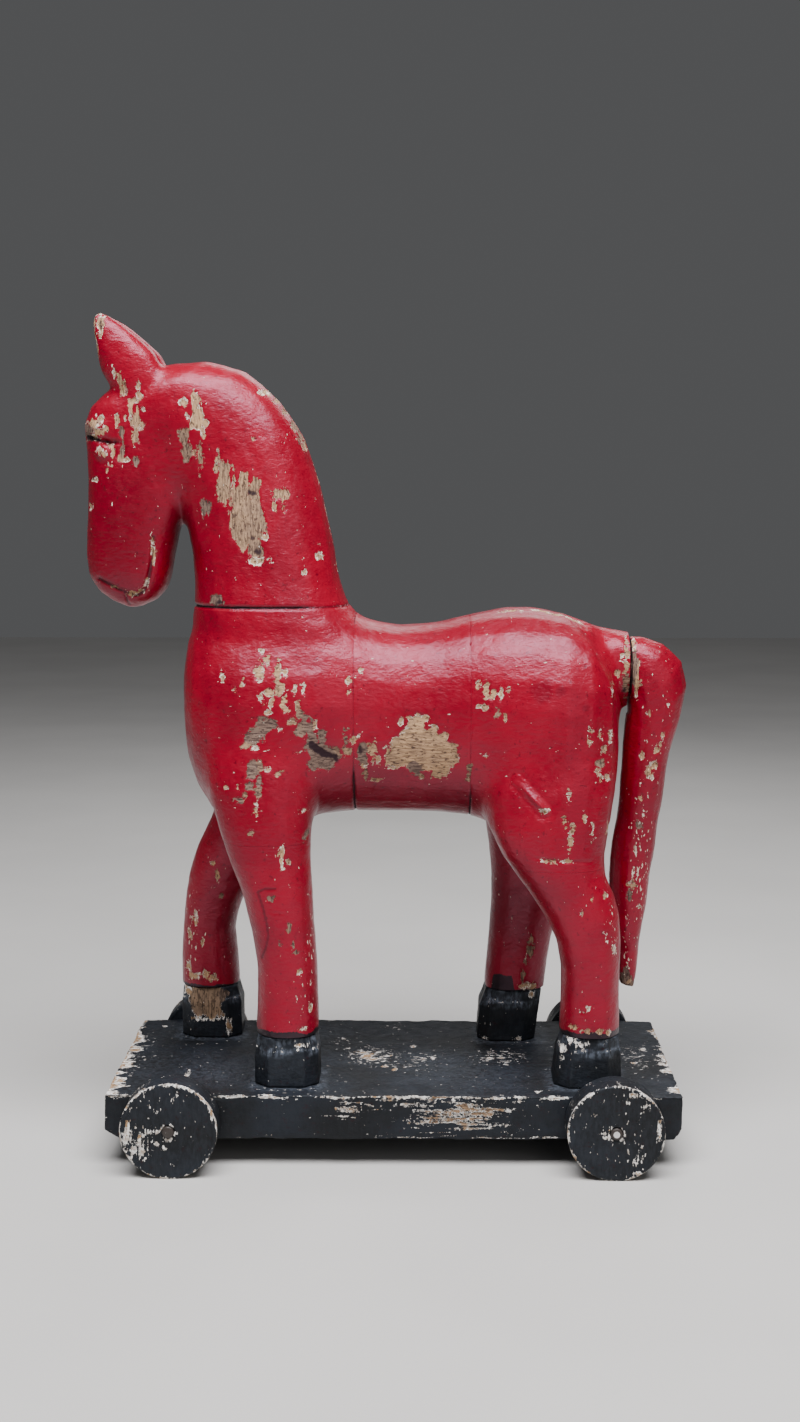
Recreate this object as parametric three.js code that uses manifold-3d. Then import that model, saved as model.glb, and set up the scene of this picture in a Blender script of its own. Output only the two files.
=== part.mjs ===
// A carved wooden toy horse on a wheeled board. Millimetres, +Z up, the horse faces -X.
// The origin is on the ground under the middle of the toy; -Y is the horse's left side.

import * as THREE from 'three';
import { mergeVertices } from 'three/addons/utils/BufferGeometryUtils.js';
import Module from 'manifold-3d';

const wasm = await Module();
wasm.setup();

// ---- Driving dimensions ----

const GAP = 0.3; // clearance between touching pieces
const FAR = 500; // larger than the whole toy, for cutting blocks

const BOARD_FRONT = -135.5;
const BOARD_REAR = 135.5;
const BOARD_WIDTH = 123;
const BOARD_TOP = 34;
const BOARD_BOTTOM = 13;
const BOARD_FRONT_CHAMFER = [7, 4]; // lower edge: run along X, rise along Z
const BOARD_REAR_CHAMFER = [4, 6];

const WHEEL_RADIUS = 22.5;
const WHEEL_SIDES = 36;
const WHEEL_THICKNESS = 15;
const WHEEL_BOARD_GAP = 1.5;
const WHEEL_BEVEL = 0.7;
const WHEEL_X = { front: -103, rear: 102.3 };
const AXLE_HEIGHT = WHEEL_RADIUS * Math.cos(Math.PI / WHEEL_SIDES); // each wheel stands on a flat facet

const NAIL_RADIUS = 1.9;
const NAIL_HEAD_RADIUS = 2.8;
const NAIL_HEAD_HEIGHT = 1.1;
const NAIL_DEPTH = 24; // length driven into the board's side
const NAIL_POINT = 3; // length of the nail's point
const WHEEL_BORE_RADIUS = 2.4;

const NECK_SEAM_Z = 259.6;
const BODY_SEAMS_X = { front: -19, rear: 36 };
const TAIL_SEAM_X = 112.5;
const TAIL_ROOT_Z = 206; // the seam's flat face ends above this
const LEG_SEAM_Z = { front: 150, rear: 138 };

const DOWEL_SIDES = 12;
const BODY_DOWEL = { heights: { upper: 230, lower: 184 }, half: 18, radius: 5 };
const NECK_DOWEL = { x: -60, half: 26, radius: 6 };
const TAIL_DOWEL = { z: 229, ahead: 16, behind: 13, radius: 4 };
const LEG_DOWEL = { down: 16, up: 18, radius: 4 };

const SCREW_RADIUS = 2;
const SCREW_HEAD_RADIUS = 4;
const SCREW_HEAD_HEIGHT = 2.6;
const SCREW_GRIP = 22; // length of screw inside the leg

const EAR_SEAT = { x: -123, z: 366.5, lean: 0.42 }; // the flat cut that each ear is glued on
const EAR_SEAT_REAR = -107; // the cut ends here, ahead of the neck's crest
const MUZZLE_REAR = -108; // ahead of this the head hangs lower than the neck's seam

const CENTRE_SHIFT = 3.377; // moves the middle of the whole toy to X = 0

// ---- Section tables ----
// Each row is one section of a carved piece: two opposite edge points in the side view, X Z and X Z,
// then the half-width along Y and the sideways offset of its middle.

const TORSO = [
  [-101, 196, -101, 234, 13, 0],
  [-99.2, 184, -98.8, 244, 23, 0],
  [-95, 171.5, -94.4, 251.5, 31, 0],
  [-87, 158.5, -86, 256, 38, 0],
  [-73, 153.5, -71, 258, 43.5, 0],
  [-54, 154, -52, 258, 45, 0],
  [-35, 157.5, -33, 256, 42.5, 0],
  [-18, 159.5, -17, 252.5, 38.5, 0],
  [2, 159.2, 2, 249.2, 36.5, 0],
  [20, 158.8, 21, 250.6, 36.8, 0],
  [37, 157, 38, 254.8, 39.5, 0],
  [52, 151, 53, 257.6, 43.5, 0],
  [67, 147, 67, 257.7, 46, 0],
  [82, 146, 81, 254.8, 46.5, 0],
  [94, 148, 93, 250.6, 43, 0],
  [102, 157, 101.4, 243, 34.5, 0],
  [106, 170, 105.6, 228, 24, 0],
  [107.8, 184, 107.6, 210, 13, 0],
];

const TAIL_BOSS = [
  [88, 206, 88, 250, 20, 0],
  [102, 211, 102, 247.4, 16.5, 0],
  [114, 213.5, 114, 243.6, 12.5, 0],
];

const NECK = [
  [-92, 238, -4, 236, 34, 0],
  [-97.4, 252, -14, 250.5, 34.5, 0],
  [-96.6, 262, -23.5, 260, 32.5, 0],
  [-96.2, 272, -26.8, 271, 30.5, 0],
  [-96.8, 283, -29.2, 284.5, 29, 0],
  [-99.5, 296, -32.4, 299, 27.5, 0],
  [-104, 309, -36.6, 318, 26, 0],
  [-110, 320, -43.8, 339, 25, 0],
  [-116, 329, -55.6, 356.4, 24, 0],
  [-122, 337, -71.6, 370, 23, 0],
  [-128, 344, -90.6, 374.8, 21.5, 0],
  [-133, 349, -107, 373.6, 18.5, 0],
  [-136, 353, -119, 369, 13, 0],
];

const HEAD = [
  [-129, 258.6, -123, 258.8, 6, 0],
  [-136, 262, -115.5, 262.2, 12.5, 0],
  [-142.5, 267, -111, 267.4, 15.8, 0],
  [-147, 274, -108.6, 274.4, 17.8, 0],
  [-148, 283, -107.2, 283, 18.8, 0],
  [-147.6, 294, -104.8, 294, 19.4, 0],
  [-146.8, 306, -101, 306, 19.8, 0],
  [-146.6, 320, -98, 320, 19.8, 0],
  [-147, 333, -97, 333, 19.8, 0],
  [-148, 345, -97, 345, 20, 0],
  [-145, 353, -97, 354, 19.4, 0],
  [-138.6, 359.5, -98, 363, 17.4, 0],
  [-131.5, 363.6, -102, 369, 13, 0],
];

const EAR = [
  [-127, 350, -106, 359, 8.5, 10.5],
  [-133, 361, -108.6, 370.6, 9.4, 11],
  [-137.6, 369, -113.6, 379, 9, 11.6],
  [-140.4, 378, -121.4, 386, 7.8, 12.1],
  [-141.6, 386.5, -129, 392, 5.8, 12.4],
  [-141.6, 392.6, -134.8, 395.4, 3.6, 12.5],
  [-140.6, 395.8, -138, 396.8, 1.6, 12.5],
];

const TAIL = [
  [107, 214, 107, 244, 11.6, 0],
  [112.6, 211.5, 118.6, 243.8, 12, 0],
  [112.8, 207, 130, 240.4, 12.4, 0],
  [112, 200, 139, 232.6, 12.6, 0],
  [111.4, 190, 141.4, 220.4, 12.4, 0],
  [110.8, 178, 138.7, 206, 12, 0],
  [110, 163, 133.5, 188, 11.2, 0],
  [108, 148, 130.6, 167, 10.5, 0],
  [105.6, 134, 127.8, 147, 9.8, 0],
  [105.4, 118, 125.2, 126, 9, 0],
  [107.4, 100, 122.4, 104, 7.8, 0],
  [109.6, 85, 120.4, 87, 6.4, 0],
  [111.2, 72, 118.4, 70, 4.4, 0],
];

// Legs: every section is level, so a row is Z, front X, rear X, half-width, distance from the middle plane.
const LEGS = {
  front_left: [
    [58.5, -65, -36.6, 14, 36],
    [72, -64.1, -36.3, 14, 36],
    [90, -64.6, -36.7, 14.1, 36],
    [108, -67.1, -38.2, 14.4, 36],
    [124, -71.1, -39, 15, 35.5],
    [140, -77, -39.9, 16, 34.5],
    [157, -83, -39.5, 17.2, 33],
    [176, -88, -36.5, 18.4, 30],
    [196, -90, -35, 18.2, 26],
    [216, -86, -42, 14, 22],
  ],
  front_right: [
    [61, -110.6, -82, 13.6, 41.5],
    [76, -111, -82.8, 13.6, 41.5],
    [90, -110.3, -84.2, 13.8, 41.3],
    [104, -108.6, -80.6, 14.2, 41],
    [118, -106.6, -73.5, 14.8, 40],
    [134, -101, -65, 16, 38],
    [151, -93, -56, 17, 35.5],
    [172, -90, -45, 18.2, 31.5],
    [194, -90, -38, 18.2, 26.5],
    [216, -86, -42, 14, 22],
  ],
  rear_left: [
    [58.5, 80, 106.9, 14, 35.5],
    [75, 80, 106.6, 14, 35.5],
    [90, 79.8, 106.9, 14.2, 35.5],
    [103, 77.4, 107, 14.6, 35.3],
    [115, 71.5, 106.3, 15.2, 35],
    [125, 65, 103.8, 16, 34.6],
    [134, 58.6, 99.2, 16.8, 34],
    [143, 51.6, 99, 17.8, 33],
    [156, 44.6, 101.6, 19, 31.5],
    [174, 43, 104.6, 20.4, 28.6],
    [200, 50, 103.4, 19.6, 24],
    [222, 62, 96, 14, 18],
  ],
  rear_right: [
    [61, 45.4, 74.8, 13.6, 37],
    [75, 47, 77, 13.6, 37],
    [90, 48.5, 80.2, 13.8, 37],
    [105, 49.4, 84.6, 14.4, 36.8],
    [120, 49.2, 89.6, 15.4, 36.2],
    [135, 48, 94, 16.8, 35],
    [150, 44.4, 98, 18.4, 32.6],
    [172, 43, 104.4, 20.2, 29],
    [200, 50, 103.4, 19.6, 24],
    [222, 62, 96, 14, 18],
  ],
};

// Hooves: three level sections, bottom to top, each with its front X, rear X and half-width. The side
// offset is the leg's own.
const HOOVES = {
  front_left: [
    [-66, -35.4, 15],
    [-66, -35.4, 15],
    [-64.6, -37, 13.6],
  ],
  front_right: [
    [-110.6, -79.8, 14.4],
    [-110.8, -80, 14.4],
    [-109.8, -82.4, 13.4],
  ],
  rear_left: [
    [75.6, 108.2, 15.4],
    [77.4, 107.6, 15],
    [80.2, 106.6, 13.6],
  ],
  rear_right: [
    [41.6, 71.2, 14.4],
    [42.6, 73.6, 14.4],
    [46, 74.6, 13.2],
  ],
};
const HOOF_COLLAR = 9; // height of the tapered ring at the top of a hoof
const HOOF_CORNER = 0.22; // corner cut as a part of the hoof's half-size

// ---- Geometry helpers ----

// Only positions, shared vertices merged, faces pointing out.
function tidy(geometry) {
  geometry.deleteAttribute('normal');
  geometry.deleteAttribute('uv');
  const merged = mergeVertices(geometry, 1e-4);
  const position = merged.attributes.position;
  const index = merged.index.array;
  const [a, b, c] = [new THREE.Vector3(), new THREE.Vector3(), new THREE.Vector3()];
  let volume = 0;
  for (let i = 0; i < index.length; i += 3) {
    a.fromBufferAttribute(position, index[i]);
    b.fromBufferAttribute(position, index[i + 1]);
    c.fromBufferAttribute(position, index[i + 2]);
    volume += a.dot(b.cross(c));
  }
  if (volume < 0) {
    index.reverse();
  }
  return merged;
}

function solid(geometry) {
  const clean = tidy(geometry);
  const vertProperties = new Float32Array(clean.attributes.position.array);
  const triVerts = new Uint32Array(clean.index.array);
  return new wasm.Manifold(new wasm.Mesh({ numProp: 3, vertProperties, triVerts }));
}

function surface(manifold) {
  const mesh = manifold.getMesh();
  const geometry = new THREE.BufferGeometry();
  geometry.setAttribute('position', new THREE.BufferAttribute(mesh.vertProperties, 3));
  geometry.setIndex(new THREE.BufferAttribute(mesh.triVerts, 1));
  geometry.computeVertexNormals();
  return geometry;
}

function block(low, high) {
  const size = high.map((value, i) => value - low[i]);
  const geometry = new THREE.BoxGeometry(...size);
  geometry.translate(...low.map((value, i) => value + size[i] / 2));
  return solid(geometry);
}

// A rod between two points, for dowels and the holes that take them.
function rod(from, to, radius, sides = DOWEL_SIDES) {
  const start = new THREE.Vector3(...from);
  const along = new THREE.Vector3(...to).sub(start);
  const geometry = new THREE.CylinderGeometry(radius, radius, along.length(), sides);
  geometry.applyQuaternion(
    new THREE.Quaternion().setFromUnitVectors(new THREE.Vector3(0, 1, 0), along.clone().normalize()),
  );
  geometry.translate(...start.addScaledVector(along, 0.5).toArray());
  return geometry;
}

// Closed skin over rings that all have the same number of points, with flat ends.
function skin(rings) {
  const sides = rings[0].length;
  const points = rings.flat();
  const index = [];
  for (let r = 0; r + 1 < rings.length; r += 1) {
    for (let k = 0; k < sides; k += 1) {
      const a = r * sides + k;
      const b = r * sides + ((k + 1) % sides);
      index.push(a, b, b + sides, a, b + sides, a + sides);
    }
  }
  for (const [ring, flip] of [[0, true], [rings.length - 1, false]]) {
    const middle = points.length;
    const centre = new THREE.Vector3();
    rings[ring].forEach((point) => centre.addScaledVector(point, 1 / sides));
    points.push(centre);
    for (let k = 0; k < sides; k += 1) {
      const a = ring * sides + k;
      const b = ring * sides + ((k + 1) % sides);
      index.push(...(flip ? [middle, b, a] : [middle, a, b]));
    }
  }
  const geometry = new THREE.BufferGeometry().setFromPoints(points);
  geometry.setIndex(index);
  return geometry;
}

// Rows between the given ones, on a smooth curve through them.
function smoothRows(rows, steps) {
  const at = (i) => rows[THREE.MathUtils.clamp(i, 0, rows.length - 1)];
  const result = [];
  for (let i = 0; i + 1 < rows.length; i += 1) {
    for (let s = 0; s < steps; s += 1) {
      const t = s / steps;
      result.push(rows[i].map((p1, k) => {
        const [p0, p2, p3] = [at(i - 1)[k], at(i + 1)[k], at(i + 2)[k]];
        const cubic = 3 * p1 - p0 - 3 * p2 + p3;
        const square = 2 * p0 - 5 * p1 + 4 * p2 - p3;
        return 0.5 * (2 * p1 + (p2 - p0) * t + square * t * t + cubic * t * t * t);
      }));
    }
  }
  result.push(rows[rows.length - 1]);
  return result;
}

// A carved form: superelliptic sections, rounder for squareness 2 and flatter-sided above it.
function carved(rows, { sides = 24, squareness = 2.3, side = 1 } = {}) {
  const power = 2 / squareness;
  const bent = (value) => Math.sign(value) * Math.abs(value) ** power;
  const rings = rows.map(([x0, z0, x1, z1, halfWidth, offset]) => {
    const ring = [];
    for (let k = 0; k < sides; k += 1) {
      const angle = (2 * Math.PI * (k + 0.5)) / sides;
      const across = bent(Math.cos(angle));
      const x = (x0 + x1) / 2 + (across * (x1 - x0)) / 2;
      const z = (z0 + z1) / 2 + (across * (z1 - z0)) / 2;
      ring.push(new THREE.Vector3(x, side * offset + bent(Math.sin(angle)) * halfWidth, z));
    }
    return ring;
  });
  return solid(skin(rings));
}

function legRows(rows) {
  return rows.map(([z, front, rear, halfWidth, offset]) => [front, z, rear, z, halfWidth, offset]);
}

const above = (z) => block([-FAR, -FAR, z], [FAR, FAR, FAR]);
const ahead = (x) => block([-FAR, -FAR, -FAR], [x, FAR, FAR]);
const behind = (x) => block([x, -FAR, -FAR], [FAR, FAR, FAR]);

// ---- Materials ----

const paint = {
  red: { color: 0xb80f24, roughness: 0.38, metalness: 0 },
  black: { color: 0x1d2024, roughness: 0.6, metalness: 0 },
  wood: { color: 0xa98c66, roughness: 0.8, metalness: 0 },
  steel: { color: 0x8d8a86, roughness: 0.4, metalness: 1 },
};

const horse = new THREE.Group();
horse.position.x = CENTRE_SHIFT;

function add(name, geometry, finish, parent = horse) {
  const material = new THREE.MeshStandardMaterial(paint[finish]);
  const mesh = new THREE.Mesh(geometry, material);
  mesh.name = name;
  parent.add(mesh);
  return mesh;
}

// ---- Board ----

const SIDES = { left: -1, right: 1 };
const LEG_NAMES = Object.keys(LEGS);
const sideOf = (name) => SIDES[name.split('_')[1]];
const endOf = (name) => name.split('_')[0];

// The middle of the hoof on the board, where its screw goes up.
function footing(name) {
  const [front, rear] = HOOVES[name][1];
  return [(front + rear) / 2, sideOf(name) * LEGS[name][0][4]];
}

function boardPlank() {
  const [frontRun, frontRise] = BOARD_FRONT_CHAMFER;
  const [rearRun, rearRise] = BOARD_REAR_CHAMFER;
  const outline = new THREE.Shape();
  outline.moveTo(BOARD_FRONT, BOARD_TOP);
  outline.lineTo(BOARD_FRONT, BOARD_BOTTOM + frontRise);
  outline.lineTo(BOARD_FRONT + frontRun, BOARD_BOTTOM);
  outline.lineTo(BOARD_REAR - rearRun, BOARD_BOTTOM);
  outline.lineTo(BOARD_REAR, BOARD_BOTTOM + rearRise);
  outline.lineTo(BOARD_REAR, BOARD_TOP);
  outline.closePath();
  const geometry = new THREE.ExtrudeGeometry(outline, { depth: BOARD_WIDTH, bevelEnabled: false });
  geometry.rotateX(Math.PI / 2);
  geometry.translate(0, BOARD_WIDTH / 2, 0);
  return solid(geometry);
}

// A screw that points up, with its countersunk head at z = 0.
function screwGeometry(length, clearance = 0) {
  const head = SCREW_HEAD_RADIUS + clearance;
  const shank = SCREW_RADIUS + clearance;
  const taper = SCREW_HEAD_HEIGHT + clearance;
  const points = [[0, 0], [head, 0], [shank, taper], [shank, length], [0, length]];
  const geometry = new THREE.LatheGeometry(points.map(([r, y]) => new THREE.Vector2(r, y)), DOWEL_SIDES);
  geometry.rotateX(Math.PI / 2);
  return geometry;
}

function makeBoard() {
  let board = boardPlank();
  for (const name of LEG_NAMES) {
    const [x, y] = footing(name);
    const hole = screwGeometry(FAR, GAP);
    hole.translate(x, y, BOARD_BOTTOM - 0.01);
    board = board.subtract(solid(hole));
  }
  for (const side of Object.values(SIDES)) {
    for (const x of Object.values(WHEEL_X)) {
      const edge = (side * BOARD_WIDTH) / 2;
      const hole = rod(
        [x, edge - side * (NAIL_DEPTH + 1), AXLE_HEIGHT],
        [x, edge + side, AXLE_HEIGHT],
        NAIL_RADIUS + GAP,
      );
      board = board.subtract(solid(hole));
    }
  }
  return board;
}

add('base_board', surface(makeBoard()), 'black');

// ---- Wheels and their axle nails ----

function wheelGeometry() {
  const half = WHEEL_THICKNESS / 2;
  const rim = WHEEL_RADIUS - WHEEL_BEVEL;
  const outline = [
    [WHEEL_BORE_RADIUS, -half],
    [rim, -half],
    [WHEEL_RADIUS, -half + WHEEL_BEVEL],
    [WHEEL_RADIUS, half - WHEEL_BEVEL],
    [rim, half],
    [WHEEL_BORE_RADIUS, half],
    [WHEEL_BORE_RADIUS, -half],
  ];
  const geometry = new THREE.LatheGeometry(outline.map(([r, y]) => new THREE.Vector2(r, y)), WHEEL_SIDES);
  geometry.rotateY(Math.PI / WHEEL_SIDES);
  return tidy(geometry);
}

// The nail lies along Y; its wheel's middle is at the origin and its head is on the +Y side.
function nailGeometry() {
  const face = WHEEL_THICKNESS / 2 + GAP;
  const tip = -WHEEL_THICKNESS / 2 - WHEEL_BOARD_GAP - NAIL_DEPTH;
  const outline = [
    [0, tip],
    [NAIL_RADIUS, tip + NAIL_POINT],
    [NAIL_RADIUS, face],
    [NAIL_HEAD_RADIUS, face],
    [NAIL_HEAD_RADIUS * 0.85, face + NAIL_HEAD_HEIGHT * 0.7], // the head's rounded edge
    [0, face + NAIL_HEAD_HEIGHT],
  ];
  return tidy(new THREE.LatheGeometry(outline.map(([r, y]) => new THREE.Vector2(r, y)), DOWEL_SIDES));
}

for (const [sideName, side] of Object.entries(SIDES)) {
  for (const [end, x] of Object.entries(WHEEL_X)) {
    const axle = new THREE.Group();
    const distance = BOARD_WIDTH / 2 + WHEEL_BOARD_GAP + WHEEL_THICKNESS / 2;
    axle.position.set(x, side * distance, AXLE_HEIGHT);
    axle.rotation.z = side > 0 ? 0 : Math.PI;
    horse.add(axle);
    add(`wheel_${end}_${sideName}`, wheelGeometry(), 'black', axle);
    add(`axle_nail_${end}_${sideName}`, nailGeometry(), 'steel', axle);
  }
}

// ---- Hooves and the screws under them ----

const LEG_BOTTOM = Object.fromEntries(LEG_NAMES.map((name) => [name, LEGS[name][0][0]]));

function hoofRing(z, [front, rear, halfWidth], offset) {
  const [cutX, cutY] = [((rear - front) / 2) * HOOF_CORNER * 2, halfWidth * HOOF_CORNER * 2];
  return [
    [front, -halfWidth + cutY],
    [front + cutX, -halfWidth],
    [rear - cutX, -halfWidth],
    [rear, -halfWidth + cutY],
    [rear, halfWidth - cutY],
    [rear - cutX, halfWidth],
    [front + cutX, halfWidth],
    [front, halfWidth - cutY],
  ].map(([x, y]) => new THREE.Vector3(x, offset + y, z));
}

function makeHoof(name) {
  const [x, y] = footing(name);
  const top = LEG_BOTTOM[name] - GAP;
  const levels = [BOARD_TOP + GAP, top - HOOF_COLLAR, top];
  const body = solid(skin(levels.map((z, i) => hoofRing(z, HOOVES[name][i], y))));
  return body.subtract(solid(rod([x, y, 0], [x, y, FAR], SCREW_RADIUS + GAP)));
}

for (const name of LEG_NAMES) {
  const [x, y] = footing(name);
  const length = LEG_BOTTOM[name] + SCREW_GRIP - BOARD_BOTTOM;
  add(`hoof_${name}`, surface(makeHoof(name)), 'black');
  add(`hoof_screw_${name}`, tidy(screwGeometry(length)), 'steel').position.set(x, y, BOARD_BOTTOM);
}

// ---- Carved horse, cut into its blocks at flat seams ----

const torso = carved(TORSO);
const neck = carved(NECK);
const head = carved(HEAD, { squareness: 2.9 });
const boss = carved(TAIL_BOSS, { sides: 16 });
const legForms = Object.fromEntries(LEG_NAMES.map((name) => [
  name,
  carved(legRows(LEGS[name]), { sides: 20, side: sideOf(name) }),
]));
const body = Object.values(legForms).reduce((sum, leg) => sum.add(leg), torso.add(neck).add(boss))
  .subtract(above(NECK_SEAM_Z - GAP / 2))
  .subtract(behind(TAIL_SEAM_X - GAP / 2));

// Dowels: two ends and a radius.
const bodyDowels = {};
for (const [end, x] of Object.entries(BODY_SEAMS_X)) {
  for (const [level, z] of Object.entries(BODY_DOWEL.heights)) {
    bodyDowels[`body_dowel_${end}_${level}`] = {
      from: [x - BODY_DOWEL.half, 0, z],
      to: [x + BODY_DOWEL.half, 0, z],
      radius: BODY_DOWEL.radius,
    };
  }
}
const neckDowel = {
  from: [NECK_DOWEL.x, 0, NECK_SEAM_Z - NECK_DOWEL.half],
  to: [NECK_DOWEL.x, 0, NECK_SEAM_Z + NECK_DOWEL.half],
  radius: NECK_DOWEL.radius,
};
const tailDowel = {
  from: [TAIL_SEAM_X - TAIL_DOWEL.ahead, 0, TAIL_DOWEL.z],
  to: [TAIL_SEAM_X + TAIL_DOWEL.behind, 0, TAIL_DOWEL.z],
  radius: TAIL_DOWEL.radius,
};

// A leg's dowel stands in the middle of the leg at its seam.
function legDowel(name) {
  const seam = LEG_SEAM_Z[endOf(name)];
  const rows = smoothRows(LEGS[name], 8);
  const nearest = rows.reduce((a, b) => (Math.abs(b[0] - seam) < Math.abs(a[0] - seam) ? b : a));
  const [x, y] = [(nearest[1] + nearest[2]) / 2, sideOf(name) * nearest[4]];
  const { down, up, radius } = LEG_DOWEL;
  return { from: [x, y, seam - down], to: [x, y, seam + up], radius };
}

const legDowels = Object.fromEntries(LEG_NAMES.map((name) => [`leg_dowel_${name}`, legDowel(name)]));
const dowels = { ...bodyDowels, ...legDowels, neck_dowel: neckDowel, tail_dowel: tailDowel };

// Takes every dowel's hole out of a piece; a hole is a little deeper and wider than its dowel.
function drilled(piece) {
  return Object.values(dowels).reduce((rest, { from, to, radius }) => {
    const start = new THREE.Vector3(...from);
    const end = new THREE.Vector3(...to);
    const extra = end.clone().sub(start).setLength(GAP * 2);
    const hole = rod(start.sub(extra).toArray(), end.add(extra).toArray(), radius + GAP);
    return rest.subtract(solid(hole));
  }, piece);
}

for (const [name, { from, to, radius }] of Object.entries(dowels)) {
  add(name, tidy(rod(from, to, radius)), 'wood');
}

const chest = body
  .intersect(ahead(BODY_SEAMS_X.front - GAP / 2))
  .intersect(above(LEG_SEAM_Z.front + GAP / 2));
const barrel = body
  .intersect(behind(BODY_SEAMS_X.front + GAP / 2))
  .intersect(ahead(BODY_SEAMS_X.rear - GAP / 2));
const rump = body
  .intersect(behind(BODY_SEAMS_X.rear + GAP / 2))
  .intersect(above(LEG_SEAM_Z.rear + GAP / 2));
add('chest_block', surface(drilled(chest)), 'red');
add('barrel_block', surface(drilled(barrel)), 'red');
add('rump_block', surface(drilled(rump)), 'red');

for (const name of LEG_NAMES) {
  const [x, y] = footing(name);
  const screwTip = LEG_BOTTOM[name] + SCREW_GRIP;
  const screwHole = solid(rod([x, y, 0], [x, y, screwTip + GAP * 2], SCREW_RADIUS + GAP));
  const leg = legForms[name]
    .subtract(above(LEG_SEAM_Z[endOf(name)] - GAP / 2))
    .subtract(screwHole);
  add(`leg_${name}`, surface(drilled(leg)), 'red');
}

// ---- Neck, head and ears ----

// Everything over the ear seat.
function earSeatBlock(rise) {
  const size = 60;
  const geometry = new THREE.BoxGeometry(size, size, size);
  geometry.translate(0, 0, size / 2 + rise);
  geometry.rotateY(-EAR_SEAT.lean);
  geometry.translate(EAR_SEAT.x, 0, EAR_SEAT.z);
  return solid(geometry).subtract(behind(EAR_SEAT_REAR));
}

const ears = Object.entries(SIDES).map(([name, side]) => [name, carved(EAR, { sides: 14, side })]);
const underNeckSeam = block([MUZZLE_REAR, -FAR, -FAR], [FAR, FAR, NECK_SEAM_Z + GAP / 2]);
const neckAndHead = ears
  .reduce((sum, [, ear]) => sum.add(ear), neck.add(head))
  .subtract(underNeckSeam)
  .subtract(earSeatBlock(-GAP / 2));
add('neck_head', surface(drilled(neckAndHead)), 'red');
for (const [name, ear] of ears) {
  add(`ear_${name}`, surface(ear.intersect(earSeatBlock(GAP / 2))), 'red');
}

// ---- Tail ----

const aheadOfTailSeam = block([-FAR, -FAR, TAIL_ROOT_Z], [TAIL_SEAM_X + GAP / 2, FAR, FAR]);
const tail = carved(TAIL, { sides: 16, squareness: 2.1 }).subtract(aheadOfTailSeam);
add('tail', surface(drilled(tail)), 'red');

export default horse;
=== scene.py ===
import math

import bmesh
import bpy
import numpy as np
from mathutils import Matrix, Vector
from mathutils.kdtree import KDTree


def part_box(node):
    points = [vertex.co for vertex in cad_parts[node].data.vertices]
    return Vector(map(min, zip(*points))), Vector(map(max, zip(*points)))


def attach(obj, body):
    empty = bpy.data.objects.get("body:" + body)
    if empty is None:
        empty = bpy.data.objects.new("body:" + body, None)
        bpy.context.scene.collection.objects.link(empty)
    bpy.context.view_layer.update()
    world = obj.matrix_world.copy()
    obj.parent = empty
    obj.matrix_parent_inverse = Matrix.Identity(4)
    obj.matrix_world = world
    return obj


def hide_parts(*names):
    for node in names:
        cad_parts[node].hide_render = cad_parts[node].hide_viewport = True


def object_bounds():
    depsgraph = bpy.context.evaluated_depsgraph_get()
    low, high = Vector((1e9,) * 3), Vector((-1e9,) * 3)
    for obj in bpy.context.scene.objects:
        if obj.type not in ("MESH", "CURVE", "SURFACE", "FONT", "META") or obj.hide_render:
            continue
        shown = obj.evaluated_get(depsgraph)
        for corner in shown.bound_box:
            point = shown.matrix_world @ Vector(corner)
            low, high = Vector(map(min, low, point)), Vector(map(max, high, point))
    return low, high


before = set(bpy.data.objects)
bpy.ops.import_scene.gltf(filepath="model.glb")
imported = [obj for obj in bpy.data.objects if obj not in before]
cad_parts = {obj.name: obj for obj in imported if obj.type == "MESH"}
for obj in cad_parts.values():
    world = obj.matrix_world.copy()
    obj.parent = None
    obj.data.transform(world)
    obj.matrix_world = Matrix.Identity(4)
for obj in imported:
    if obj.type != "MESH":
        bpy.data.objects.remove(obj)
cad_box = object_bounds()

# A carved, painted toy horse on a wheeled board. Shapes are worked out in millimetres in the design frame,
# which has the board's middle at X = 0, and are moved to the CAD frame in metres when a piece is made.
# The horse faces -X, +Z is up and -Y is its left side.

MM = 0.001
ROOT = "horse_and_board"
SIDES = {"left": -1.0, "right": 1.0}
CORNERS = [f"{end}_{side}" for end in ("front", "rear") for side in SIDES]  # a leg and a wheel at each

board_low, board_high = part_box("base_board")
SHIFT = np.array([(board_low.x + board_high.x) / 2 / MM, 0.0, 0.0])


def node_box(name):
    """A CAD node's corners in the design frame, in millimetres."""
    low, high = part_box(name)
    return np.array(low) / MM - SHIFT, np.array(high) / MM - SHIFT


def side_of(corner):
    return SIDES[corner.split("_")[1]]


# ---- Noise ----

LATTICE_SIZE = 32
LATTICE = np.random.RandomState(7).rand(LATTICE_SIZE, LATTICE_SIZE, LATTICE_SIZE)
SEED_STEP = np.array([7.31, 3.17, 5.77])  # how far one seed moves the lattice from the next


def noise(points, size, seed=0.0):
    """Smooth noise from -1 to 1, with features about as big as size: one number, or one for each axis."""
    p = points / np.asarray(size, float) + seed * SEED_STEP
    cell = np.floor(p).astype(np.int64)
    f = p - cell
    f = f * f * (3.0 - 2.0 * f)
    total = np.zeros(len(points))
    for corner in np.ndindex(2, 2, 2):
        i, j, k = ((cell + corner) % LATTICE_SIZE).T
        weight = np.abs(1 - np.array(corner) - f)
        total += LATTICE[i, j, k] * (weight[:, 0] * weight[:, 1] * weight[:, 2])
    return total * 2.0 - 1.0


def layered(points, size, octaves=3, seed=0.0):
    """Noise with finer and fainter copies of itself added."""
    size = np.asarray(size, float)
    return sum(noise(points, size / 2.0**i, seed + i) / 2.0**i for i in range(octaves))


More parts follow.
